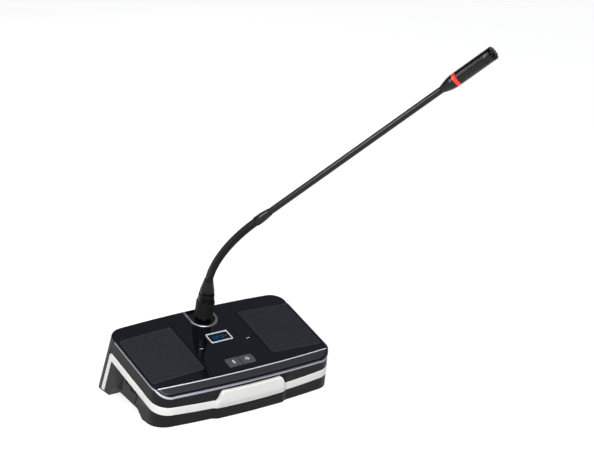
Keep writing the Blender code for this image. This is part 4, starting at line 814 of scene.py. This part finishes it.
def dress_sleeve():
    """The sleeve has a long recess with round ends in its side: the radius drops inside a stadium."""
    middle = SLEEVE_START + RECESS_START + RECESS_LENGTH / 2

    def recess(radius, height, angle):
        aside = HEAD_RADIUS * (np.mod(angle - RECESS_ANGLE + math.pi, math.tau) - math.pi)
        lengthwise = np.maximum(np.abs(height - middle) - (RECESS_LENGTH - RECESS_WIDTH) / 2, 0)
        away = np.hypot(aside, lengthwise) - RECESS_WIDTH / 2
        return -RECESS_DEPTH * (radius > HEAD_RADIUS - 0.0001) * (1 - smooth_step(away / RECESS_EDGE + 0.5))

    outline = join([
        [(SLEEVE_BORE, SLEEVE_START), (HEAD_RADIUS - 0.0002, SLEEVE_START),
         (HEAD_RADIUS, SLEEVE_START + 0.0002)],
        columns(HEAD_RADIUS, np.linspace(SLEEVE_START + 0.0003, SLEEVE_END - 0.0002, 190)),
        [(HEAD_RADIUS - 0.0001, SLEEVE_END), (SLEEVE_BORE, SLEEVE_END)]])
    piece("sleeve_shell", [turned(outline, STEM, 240, closed=True, flute=recess)], NECK_PAINT, "head_sleeve",
          body="stem", sharp=50.0)


def fin(low, high):
    """A fin of the end cap between two planes in line with the axis. Across the planes, its outline is the
    cap's: a chord of the round side, the rounded shoulder as far as the plane meets it, and the flat end."""
    origin, axes = STEM
    v = np.linspace(low, high, 7)[:, None]
    last = np.arccos(np.clip(1 - (HEAD_RADIUS - np.abs(v)) / GRID_ROUNDING, 0, 1))
    turn = last * np.linspace(0, 1, 9)
    side_u, arc_u, end_u = (
        np.sqrt(np.maximum(radius ** 2 - v ** 2, 0))
        for radius in (HEAD_RADIUS, HEAD_RADIUS - GRID_ROUNDING * (1 - np.cos(turn)),
                       HEAD_RADIUS - GRID_ROUNDING))
    arc_h = GRID_END - GRID_ROUNDING * (1 - np.sin(turn))
    u = join([side_u, arc_u, end_u * 0.5, end_u * 0], axis=1)
    h = join([np.full_like(v, GRID_ROOT - FIN_LAP), arc_h, arc_h[:, -1:], arc_h[:, -1:]], axis=1)
    local = columns(join([u, -u[:, -2::-1]], axis=1), v, join([h, h[:, -2::-1]], axis=1))
    middle = local[[0, -1]] * [0.0, 1.0, 1.0]
    local = join([middle[:1], local, middle[1:]])
    return origin + local @ axes, quads(local.shape[0], local.shape[1], loop_columns=True)


def dress_grid():
    body = soft_profile([(SLEEVE_BORE, GRID_START, 0), (HEAD_RADIUS, GRID_START, 0.0001),
                         (HEAD_RADIUS, GRID_ROOT, 0), (SLEEVE_BORE, GRID_ROOT, 0)])
    middles = GRID_SLOT_PITCH * (np.arange(GRID_SLOTS) - (GRID_SLOTS - 1) / 2)
    slots = columns(middles - GRID_SLOT_WIDTH / 2, middles + GRID_SLOT_WIDTH / 2).ravel()
    edges = [FIN_INSET - HEAD_RADIUS, *slots, HEAD_RADIUS - FIN_INSET]
    piece("comb_cap", [turned(body, STEM, 96, closed=True)] + list(map(fin, edges[::2], edges[1::2])),
          NECK_PAINT, "head_grid", body="stem", sharp=40.0)


# Top cover and centre panel


def rim_loop():
    """The cover's rim on the right, from the middle of the front to the middle of the rear: drawn in by the
    trim's width as far back as the trim goes."""
    drawn_in, flush = (wall_path(skin_height, inset)[:, :2] for inset in (TRIM_THICKNESS + GAP, 0.0))
    share = smooth_step((flush[:, 1:] - TRIM_REAR_Y) / TRIM_FADE)
    return drawn_in * (1 - share) + flush * share


def rear_y(x):
    """Where the leaning rear wall meets the crowned top."""
    top = REAR_EDGE_Z - SLOPE * REAR_EDGE_Y - crown_drop(x)
    return (REAR_FOOT_Y - REAR_SLANT * top) / (1 + REAR_SLANT * SLOPE)


def grooved_skin(place, depth=0.0):
    """The skin with a fine groove in line with the panel's front edge: its depth falls off with the
    distance from the line, and it fades out towards the rim."""
    x, y = place[..., 0], place[..., 1]
    away = np.abs(y - plan(x, GROOVE_RUN)[..., 1])
    share = np.clip(1 - away / GROOVE_HALF, 0, 1) * (1 - smooth_step((np.abs(x) - GROOVE_FADE) / GROOVE_SPREAD))
    return skin(place, depth + GROOVE_DEPTH * share * (np.abs(x) > GROOVE_START - 0.0001))


def dress_cover():
    rim, seam = rim_loop(), SEAM_X + GAP
    at_crease = crossing(rim[:, 1] - crease_y(rim[:, 0]))
    behind = int(np.argmax(rim[:, 1] > TRIM_REAR_Y))
    past_seam = behind + crossing(seam - rim[behind:, 0])
    slot_y = plan(seam, PANEL_FRONT_RUN + GAP)[1]
    half = join([stretch(rim, 0, at_crease, 60), stretch(rim, at_crease, past_seam, 130),
                 stretch([[seam, rear_y(seam)], [seam, slot_y]], 0, 1, 60),
                 stretch([[seam, slot_y], [0, slot_y]], 0, 1, 20)])
    outline = join([half, [[0.0, slot_y]], half[:0:-1] * [-1.0, 1.0]])
    end = inset_loop(outline, EDGE + HOLD)[60]
    x = np.linspace(0.001 - end[0], end[0] - 0.001, 80)
    crease = join([[end * [-1.0, 1.0]], columns(x, crease_y(x)), [end]])
    x = np.linspace(GROOVE_START, GROOVE_END, 50)
    groove = [plan(side * x, GROOVE_RUN) + [0.0, offset] for side in (-1, 1)
              for offset in (-GROOVE_HALF, 0.0, GROOVE_HALF)]
    windows = [run_box(low - GAP, high + GAP, GRILLE_REAR_RUN - GAP, GRILLE_FRONT_RUN + GAP, GRILLE_CORNER)
               for low, high in ((-GRILLE_OUTER_X, -GRILLE_INNER_X), (GRILLE_INNER_X, GRILLE_OUTER_X))]
    cover = sheet(outline, windows, COVER_THICKNESS, lift=grooved_skin, folds=[crease], lines=groove)
    piece("moulded_cover", cover, GLOSS_BLACK, "top_cover", "gloss_blue_black", sharp=25.0)


def dress_panel():
    x = np.linspace(-SEAM_X, SEAM_X, 60, endpoint=False)
    front, rear = [SEAM_X, plan(SEAM_X, PANEL_FRONT_RUN)[1]], [SEAM_X, rear_y(SEAM_X)]
    right = stretch([front, rear], 0, 1, 90)
    left = stretch([rear, front], 0, 1, 90) * [-1.0, 1.0]
    outline = join([plan(x, PANEL_FRONT_RUN), right, columns(-x, rear_y(-x)), left])
    bay = BAY_RADIUS
    windows = [
        run_box(-bay, bay, BAY_REAR_RIM, PLUG_RUN + bay, [0, bay - ARC_GAP, bay - ARC_GAP, 0], steps=40),
        middle_box(DISPLAY_RUN, DISPLAY_WIDTH / 2 + GAP, DISPLAY_HEIGHT / 2 + GAP, DISPLAY_CORNER + GAP),
        middle_box(KEY_RUN, KEY_WIDTH + KEY_SPLIT / 2 + GAP, KEY_HEIGHT / 2 + GAP, KEY_OUTER_CORNER + GAP)]
    piece("moulded_panel", sheet(outline, windows, COVER_THICKNESS), GLOSS_BLACK, "centre_panel",
          "gloss_blue_black", sharp=25.0)


# Grilles: a plain border round a field of staggered round holes, with cloth behind


def perforated(x0, x1, run0, run1):
    """Square cells that stand on a corner, in rows that are set over by half a cell in turn, so that they
    close up. A cell has four corners and a round hole of twelve points, three to each side. The cell at
    each corner of the field is left out, because the grille's corner is round."""
    half_wide, half_tall = (x1 - x0) / HOLE_COLUMNS / 2, (run1 - run0) / (HOLE_ROWS + 1)
    angle = circle(HOLE_SIDES)
    corner = np.array([(1, 0), (0, 1), (-1, 0), (0, -1)]) * [half_wide, half_tall]
    cell = join([corner, columns(np.cos(angle), np.sin(angle)) * HOLE_RADIUS])
    row, column = np.meshgrid(np.arange(HOLE_ROWS), np.arange(HOLE_COLUMNS), indexing="ij")
    odd, at_right = row % 2, column == HOLE_COLUMNS - 1
    centre = columns(x0 + half_wide * (2 * column + 1 + odd), run0 + half_tall * (row + 1))
    at_corner = ((column == 0) | at_right) & ((row == 0) | (row == HOLE_ROWS - 1))
    centre = centre[~((odd == 1) & at_right | at_corner)]
    flat = (centre[:, None] + cell).reshape(-1, 2)
    side, hole = np.arange(4), 4 + np.arange(HOLE_SIDES)
    following = (side + 1) % 4
    web = columns(side, following, 4 + 3 * following, 6 + 3 * side, 5 + 3 * side, 4 + 3 * side)
    wall = columns(hole, np.roll(hole, -1), np.roll(hole, -1) + len(flat), hole + len(flat))
    start = (np.arange(len(centre)) * len(cell))[:, None, None]
    upper, wall = (web + start).reshape(-1, 6), (wall + start).reshape(-1, 4)
    places = plan(flat[:, 0], flat[:, 1])
    points = join([skin(places, BORDER_SHEET + FIELD_DROP), skin(places, GRILLE_SHEET)])
    return [(points, upper), (points, upper[:, ::-1] + len(flat)), (points, wall)]


def dress_grille(name, side):
    x0, x1 = sorted((side * GRILLE_INNER_X, side * GRILLE_OUTER_X))

    def inset_box(amount):
        return x0 + amount, x1 - amount, GRILLE_REAR_RUN + amount, GRILLE_FRONT_RUN - amount

    window = run_box(*inset_box(GRILLE_BORDER), GRILLE_CORNER - GRILLE_BORDER)
    border = sheet(run_box(*inset_box(0.0), GRILLE_CORNER), [window], BORDER_SHEET, edge=0.0002, spacing=0.008)
    cloth = run_box(*inset_box(CLOTH_INSET), CLOTH_CORNER)
    cloth = sheet(cloth, [], CLOTH_DEPTH + GAP, top=CLOTH_DEPTH, edge=0.0001)
    for kind, surfaces, material, stands_for, slot in (
            ("border_", border, GRILLE_PAINT, "grille_" + name, None),
            ("field_", perforated(*inset_box(FIELD_MARGIN)), GRILLE_PAINT, None, "grille_metal"),
            ("cloth_", cloth, GRILLE_CLOTH, None, "cone_paper")):
        piece("grille_" + kind + name, surfaces, material, stands_for, slot, sharp=40.0)


# Silver trims, bright line and front strip


def dress_edge_trim():
    """A rounded bead carried round the cover's rim at the walls, from the one side round the front to the
    other. Each point of the section is set out from the wall and lifted to the skin less its depth."""
    half = wall_path(skin_height)
    path = both_sides(half[half[:, 1] < TRIM_REAR_Y])
    out = across(path)
    inner, outer, deep = -TRIM_THICKNESS, TRIM_BEAD, COVER_THICKNESS
    section = soft_profile([(inner, deep / 2, 0), (inner, 0.0, 0.0001), (outer, -0.0001, 0.00045),
                            (outer, deep, 0.00045), (inner, deep, 0.0001), (inner, deep / 2 + 0.0001, 0)], 6)
    points = skin(*on_skin(path[:, :2], section, out))
    points[..., 1] += FRONT_SLANT * section[None, :, 1] * -out[:, None, 1]
    piece("edge_bead", [carried(points)], SILVER, "edge_trim", sharp=50.0)


def dress_bay_trim():
    """A crowned bead along a U: straight, half a circle round the plug's axis, and straight again."""
    turn, angle = np.linspace(0, math.pi, 90), np.linspace(0, math.pi, 17)
    radius, half = BAY_RADIUS - GAP - BAY_TRIM_WIDTH / 2, BAY_TRIM_WIDTH / 2
    legs = np.linspace(BAY_REAR_RIM + GAP, PLUG_RUN, 20, endpoint=False)
    path = columns(join([np.full(20, -radius), -radius * np.cos(turn), np.full(20, radius)]),
                   join([legs, PLUG_RUN + radius * np.sin(turn), legs[::-1]]))
    section = join([[(-half, COVER_THICKNESS)],
                    columns(-half * np.cos(angle), 0.0001 - BAY_TRIM_RISE * np.sin(angle)),
                    [(half, COVER_THICKNESS)]])
    places, depths = on_skin(path, section, across(path))
    piece("bay_bead", [carried(skin(plan(places[..., 0], places[..., 1]), depths))], SILVER, "bay_trim",
          sharp=50.0)


def dress_bright_line():
    """A rounded rod carried along the bowed crease, half sunk in the facet."""
    x = np.linspace(-LINE_HALF_LENGTH, LINE_HALF_LENGTH, 160)
    path = skin(columns(x, crease_y(x)))
    down = np.array([0.0, -math.cos(FACET_TILT), -math.sin(FACET_TILT)])
    out = np.array([0.0, -math.sin(FACET_TILT), math.cos(FACET_TILT)])
    width, rise = LINE_WIDTH - GAP, LINE_RISE
    section = soft_profile([(width / 2, -rise, 0), (-0.0001, -rise, 0.0001), (-0.0001, rise, 0.00035),
                            (width + 0.0001, rise, 0.00035), (width + 0.0001, -rise, 0.0001),
                            (width / 2 + 0.0001, -rise, 0)], 5)
    points = path[:, None] + section[None, :, :1] * down + section[None, :, 1:] * out
    piece("bright_rod", [carried(points)], BRIGHT_PLATING, "bright_line", "silver", sharp=60.0)


def dress_strip():
    """The strip on the facet, between a line below the crease and the rim drawn in by the cover's border."""
    rim = wall_path(skin_height, TRIM_THICKNESS + GAP + STRIP_BORDER)[:, :2]
    upper = -LINE_WIDTH * math.cos(FACET_TILT)
    end = crossing(rim[:, 1] - crease_y(rim[:, 0]) - upper)
    tip = stretch(rim, end, end + 0.01, 1)
    x = np.append(np.linspace(tip[0, 0], 0, 90, endpoint=False), 0.0)
    half = join([stretch(rim, 0, end, 90), columns(x, crease_y(x) + upper)])
    outline = join([half, half[-2:0:-1] * [-1.0, 1.0]])
    strip = sheet(outline, [], STRIP_THICKNESS, top=-PROUD, edge=0.0002, spacing=0.003)
    piece("title_strip", strip, STRIP_GREY, "front_strip", sharp=30.0)


# White band and its raised block


def band_edge(rise, leg_y, corner_radius):
    """One edge of the band on the right, from the middle of the front: round the front corner on the wall at
    a height that follows the slope, along the side, round the apex on an arc and down the leg."""
    path = wall_path(lambda place: rise + SLOPE * place[..., 1], steps=170)
    front = path[(path[:, 0] < HALF_WIDTH - MERGE) & (path[:, 1] < REAR_EDGE_Y / 2)]
    start = np.array([front[-1, 1], rise + SLOPE * front[-1, 1]])
    apex_y = (leg_y - REAR_SLANT * rise) / (1 + REAR_SLANT * SLOPE)
    apex = np.array([apex_y, rise + SLOPE * apex_y])
    foot = np.array([leg_y - REAR_SLANT * BAND_LEG_END_Z, BAND_LEG_END_Z])
    back, ahead = unit(start - apex), unit(foot - apex)
    half = math.acos(back @ ahead) / 2
    centre = apex + unit(back + ahead) * corner_radius / math.sin(half)
    first = apex + back * corner_radius / math.tan(half) - centre
    angle = -np.linspace(0, math.pi - 2 * half, 21)[:, None]
    arc = centre + first * np.cos(angle) + np.array([-first[1], first[0]]) * np.sin(angle)
    share = np.linspace(0, 1, 40, endpoint=False)[:, None]
    side = start * (1 - share) + arc[0] * share
    leg = arc[-1] * share + foot * (1 - share)
    line = join([side[1:], arc, leg[::-1][:-1], [foot]])
    return join([front, columns(HALF_WIDTH, line[:, 0], line[:, 1])])


def dress_band():
    """The band's section, from its foot round its face to its head, carried along its lower edge. Across
    the front its middle swells into the block: its height and how far its two faces stand out rise by an
    eased share."""
    leg_width = BAND_LEG_WIDTH / math.cos(math.atan(REAR_SLANT))
    lower = both_sides(band_edge(BAND_LOWER_Z, BAND_LEG_Y - leg_width, BAND_INNER_CORNER))
    upper = both_sides(band_edge(BAND_UPPER_Z, BAND_LEG_Y, BAND_OUTER_CORNER))
    x, on_side = lower[:, 0], np.abs(lower[:, 0]) > HALF_WIDTH - MERGE
    level = across(lower) * ~on_side[:, None]
    out = columns(level[:, 0] + np.sign(x) * on_side, level[:, 1], 0.0)
    up, width = unit(upper - lower), np.linalg.norm(upper - lower, axis=1)
    on_front = lower[:, 1] < BAND_FRONT_Y
    swell = ease(x, BLOCK_SHOULDER, BLOCK_FLARE) * on_front
    head = width + ease(x, BLOCK_HALF_LENGTH, BLOCK_RAMP) * on_front * (BLOCK_HEIGHT - BAND_HEIGHT)
    foot_out, face_out = (PROUD + (proud - PROUD) * swell for proud in (BLOCK_LOWER_PROUD, BLOCK_PROUD))
    crease = width / 2 * (1 - swell) + BLOCK_CREASE_HEIGHT * swell
    back = -BAND_THICKNESS
    corners = np.stack([columns(*np.broadcast_arrays(along, depth, x)[:2]) for along, depth in (
        (0.0, back), (0.0, foot_out), (crease, face_out), (head, face_out), (head, back))], axis=1)
    section = soft_corners(corners, BAND_ROUNDINGS, 6)
    points = lower[:, None] + section[..., :1] * up[:, None] + section[..., 1:] * out[:, None]
    piece("white_band", [carried(points)], WHITE_SATIN, "trim_band", sharp=40.0)


# Bay floor, display, keys and print

# Bars of a made-up level and menu pattern: start, length and row of each, in millimetres and rows
SCREEN = (
    ("screen_bars", SCREEN_BLUE, ((-7.6, 2.2, 1), (-4.8, 1.2, 1), (-2.9, 3.1, 1), (0.9, 1.3, 1), (3.0, 2.6, 1),
                                  (-7.0, 1.0, 2), (-5.3, 2.6, 2), (1.6, 3.4, 2), (6.0, 2.6, 1.5))),
    ("screen_dim_bars", SCREEN_DEEP, ((-8.6, 4.1, 0), (-3.6, 5.2, 0), (2.6, 5.9, 0), (-1.9, 2.8, 2),
                                      (-8.6, 3.4, 3), (-4.2, 2.2, 3), (-0.8, 6.0, 3), (6.2, 2.3, 3))))
SCREEN_ROW, SCREEN_BAR = 0.0026, 0.0006
# Bars of the key icons, from the key's middle: two ends along the unit, two in run, and the corners' radius
MICROPHONE_BARS = ((-0.0008, 0.0008, -0.0024, 0.0008, 0.0007), (-0.00025, 0.00025, 0.00185, 0.0027, 0),
                   (-0.0012, 0.0012, 0.0027, 0.0032, 0.0002))
RAY_BARS = ((-0.0003, 0.0003, -0.0030, -0.0021, 0.0002), (-0.0003, 0.0003, 0.0021, 0.0030, 0.0002),
            (-0.0030, -0.0021, -0.0003, 0.0003, 0.0002), (0.0021, 0.0030, -0.0003, 0.0003, 0.0002))


def dress_bay_floor():
    """The floor below the bay, as the U with a lap, with a hole for the socket."""
    top, reach, turn = COVER_THICKNESS + GAP, BAY_RADIUS + WELL_LAP, circle(96)
    radii = [WELL_CORNER, reach - ARC_GAP, reach - ARC_GAP, WELL_CORNER]
    outline = run_box(-reach, reach, WELL_REAR_RUN, PLUG_RUN + reach, radii, steps=40)
    hole = SOCKET_RADIUS + GAP
    ring = plan(hole * np.sin(turn), PLUG_RUN + hole * np.cos(turn))
    piece("bay_floor", sheet(outline, [ring], top + WELL_THICKNESS, top=top), GLOSS_BLACK, "bay_well",
          "gloss_blue_black", sharp=30.0)


def dress_display():
    def box(inset, radius):
        return middle_box(DISPLAY_RUN, DISPLAY_WIDTH / 2 - inset, DISPLAY_HEIGHT / 2 - inset, radius)

    opening = box(DISPLAY_FRAME, DISPLAY_INNER_CORNER)
    bezel = sheet(box(0.0, DISPLAY_CORNER), [opening], COVER_THICKNESS, top=-PROUD, edge=0.0003)
    piece("display_bezel", bezel, BRIGHT_PLATING, "display_frame", "silver", sharp=40.0)
    window = box(DISPLAY_FRAME + GAP / 3, GLASS_CORNER)
    piece("display_window", sheet(window, [], COVER_THICKNESS, top=GLASS_RECESS, edge=0.0001), GLASS_BLACK,
          "display_glass", sharp=40.0)
    for name, material, bars in SCREEN:
        marks = []
        for start, length, row in bars:
            run, x0, x1 = DISPLAY_RUN + (row - 1.5) * SCREEN_ROW, start / 1000, (start + length) / 1000
            bar = run_box(x0, x1, run - SCREEN_BAR, run + SCREEN_BAR, PRINT_CORNER)
            marks += printed(bar, GLASS_RECESS, spacing=0.002)
        piece(name, marks, material, slot="display_glass", sharp=60.0)


def dress_keys():
    """Two caps with printed icons: a microphone in a cradle on the left, a ring with rays on the right."""
    half_turn, turn = np.linspace(0, math.pi, 16), circle(40)
    for name, side, bars in (("left", -1, MICROPHONE_BARS), ("right", 1, RAY_BARS)):
        centre = side * (KEY_WIDTH + KEY_SPLIT) / 2
        outer, inner = KEY_CAP_CORNERS
        outline = run_box(centre - KEY_WIDTH / 2, centre + KEY_WIDTH / 2, KEY_RUN - KEY_HEIGHT / 2,
                          KEY_RUN + KEY_HEIGHT / 2, [outer, outer, inner, inner][::-side])
        cap = sheet(outline, [], KEY_DEPTH, top=-KEY_PROUD, edge=KEY_EDGE, spacing=0.003)
        piece("key_cap_" + name, cap, KEY_GREY, "key_" + name, body=name + "_key", sharp=30.0)
        if side < 0:
            cradle = join([columns(way * radius * np.cos(half_turn), CRADLE_RUN + radius * np.sin(half_turn))
                           for way, radius in zip((1, -1), CRADLE_RADII)])[::-1]
            marks = printed(plan(centre + cradle[:, 0], KEY_RUN + cradle[:, 1]), -KEY_PROUD)
        else:
            ring, hole = (plan(centre + radius * np.cos(turn), KEY_RUN - radius * np.sin(turn))
                          for radius in ICON_RING_RADII)
            marks = printed(ring, -KEY_PROUD, [hole])
        for x0, x1, low, high, radius in bars:
            bar = run_box(centre + x0, centre + x1, KEY_RUN + low, KEY_RUN + high, radius)
            marks += printed(bar, -KEY_PROUD)
        piece("key_mark_" + name, marks, PRINT_WHITE, slot="white_satin", body=name + "_key", sharp=60.0)


def print_dashes():
    """Two short printed dashes on the panel, beside the row between the display and the keys."""
    marks = []
    for middle in (-DASH_X, DASH_X):
        bar = run_box(middle - DASH_HALF, middle + DASH_HALF, *DASH_RUNS, PRINT_CORNER)
        marks += sheet(bar, [], 0.0001, top=-PRINT_THICKNESS, edge=PRINT_THICKNESS / 2, spacing=0.002)
    piece("panel_dashes", marks, PRINT_WHITE, slot="white_satin", sharp=60.0)


# Side plates and cable sockets


def dress_side_plate(name, side):
    """A flat plate on the side, whose outline is drawn on the wall."""
    upper = BAND_LOWER_Z - PLATE_BAND_MARGIN
    lower_rear = PLATE_LOWER_Z + SLOPE * (PLATE_REAR_Y - PLATE_FRONT_Y) / 2
    corners = np.array([(PLATE_FRONT_Y + PLATE_LEAN, PLATE_LOWER_Z), (PLATE_REAR_Y + PLATE_LEAN, lower_rear),
                        (PLATE_REAR_Y - PLATE_LEAN / 2, upper + SLOPE * PLATE_REAR_Y),
                        (PLATE_FRONT_Y, upper + SLOPE * PLATE_FRONT_Y)])
    middles = (corners + np.roll(corners, -1, axis=0)) / 2
    path = join([middles[-1:], np.stack([corners, middles], axis=1).reshape(-1, 2)])
    soft = soft_corners(path[None], [0] + [PLATE_CORNER, 0] * 4, 8)[0]

    def lift(place, depth):
        return columns(side * (HALF_WIDTH + PROUD - depth), place[..., 0], place[..., 1])

    plate = sheet(stretch(soft, 0, len(soft) - 1, 120), [], PROUD + PLATE_THICKNESS, lift=lift, edge=0.0003)
    piece("flat_plate_" + name, plate, MATT_GREY, "side_plate_" + name, sharp=30.0)


def dress_cable_socket(name, side):
    """A round socket: a rolled rim, a recess and pins on a ring."""
    wall = np.array([side * CABLE_SOCKET_X, REAR_FOOT_Y - REAR_SLANT * CABLE_SOCKET_Z, CABLE_SOCKET_Z])
    place = axis_frame(wall, [0.0, 1.0, REAR_SLANT])
    outline = soft_profile([
        (0.0, -CABLE_SOCKET_RECESS, 0), (CABLE_SOCKET_BORE, -CABLE_SOCKET_RECESS, 0),
        (CABLE_SOCKET_BORE, PROUD, 0.0004), (CABLE_SOCKET_RADIUS, PROUD, 0.0004),
        (CABLE_SOCKET_RADIUS, -CABLE_SOCKET_LENGTH, 0.0003), (0.0, -CABLE_SOCKET_LENGTH, 0)])
    piece("socket_body_" + name, [turned(outline, place, 72)], NECK_PAINT, "cable_socket_" + name)
    pin = soft_profile([(0.0, -CABLE_SOCKET_RECESS, 0), (PIN_RADIUS, -CABLE_SOCKET_RECESS, 0),
                        (PIN_RADIUS, PIN_TOP, 0.0003), (0.0, PIN_TOP, 0)])
    centres = [wall + PIN_RING * (math.cos(turn) * place[1][0] + math.sin(turn) * place[1][1])
               for turn in circle(PINS)]
    piece("socket_pins_" + name, [turned(pin, (centre, place[1]), 16) for centre in centres], STEEL,
          slot="steel")


# Housing and floor


def dress_housing():
    """A merged copy of the frame's housing, with its flat faces joined and its round ones shaded smooth."""
    place_mesh("dressed_housing", cad["housing"].data.copy(), MATT_GREY, "base", "housing", None, 30.0, True)


def lay_floor():
    """A pale sheet under the unit, wide enough to fill the view. Cameras, mirrors and glass see it nearly
    white; it sheds no more light on the unit than its colour does."""
    place = columns(*np.meshgrid(*[np.linspace(-3.0, 5.0, 9)] * 2, indexing="ij"), 0.0)
    mesh = bpy.data.meshes.new("studio_floor")
    mesh.from_pydata(place.reshape(-1, 3).tolist(), [], quads(9, 9).tolist())
    material, tree = new_material("floor_paper")
    path = tree.nodes.new("ShaderNodeLightPath").outputs
    seen = maths(tree, "ADD", path["Is Camera Ray"], path["Is Glossy Ray"], clamp=True)
    seen = maths(tree, "ADD", seen, path["Is Transmission Ray"], clamp=True)
    fill(tree, tree.nodes["Principled BSDF"], {
        "Base Color": FLOOR_COLOUR, "Roughness": 0.9, "Specular IOR Level": 0.0,
        "Emission Color": (1.0, 1.0, 1.0, 1.0), "Emission Strength": maths(tree, "MULTIPLY", seen, FLOOR_LIFT)})
    mesh.materials.append(material)
    stand("studio_floor", mesh)


for dress in (dress_hose, dress_plug, dress_ring, dress_socket, dress_stem, dress_sleeve, dress_grid,
              dress_cover, dress_panel):
    dress()
for side_name, side_sign in (("left", -1), ("right", 1)):
    for dress in (dress_grille, dress_side_plate, dress_cable_socket):
        dress(side_name, side_sign)
for dress in (dress_edge_trim, dress_bay_trim, dress_bright_line, dress_strip, dress_band, dress_bay_floor,
              dress_display, dress_keys, print_dashes, dress_housing, lay_floor):
    dress()
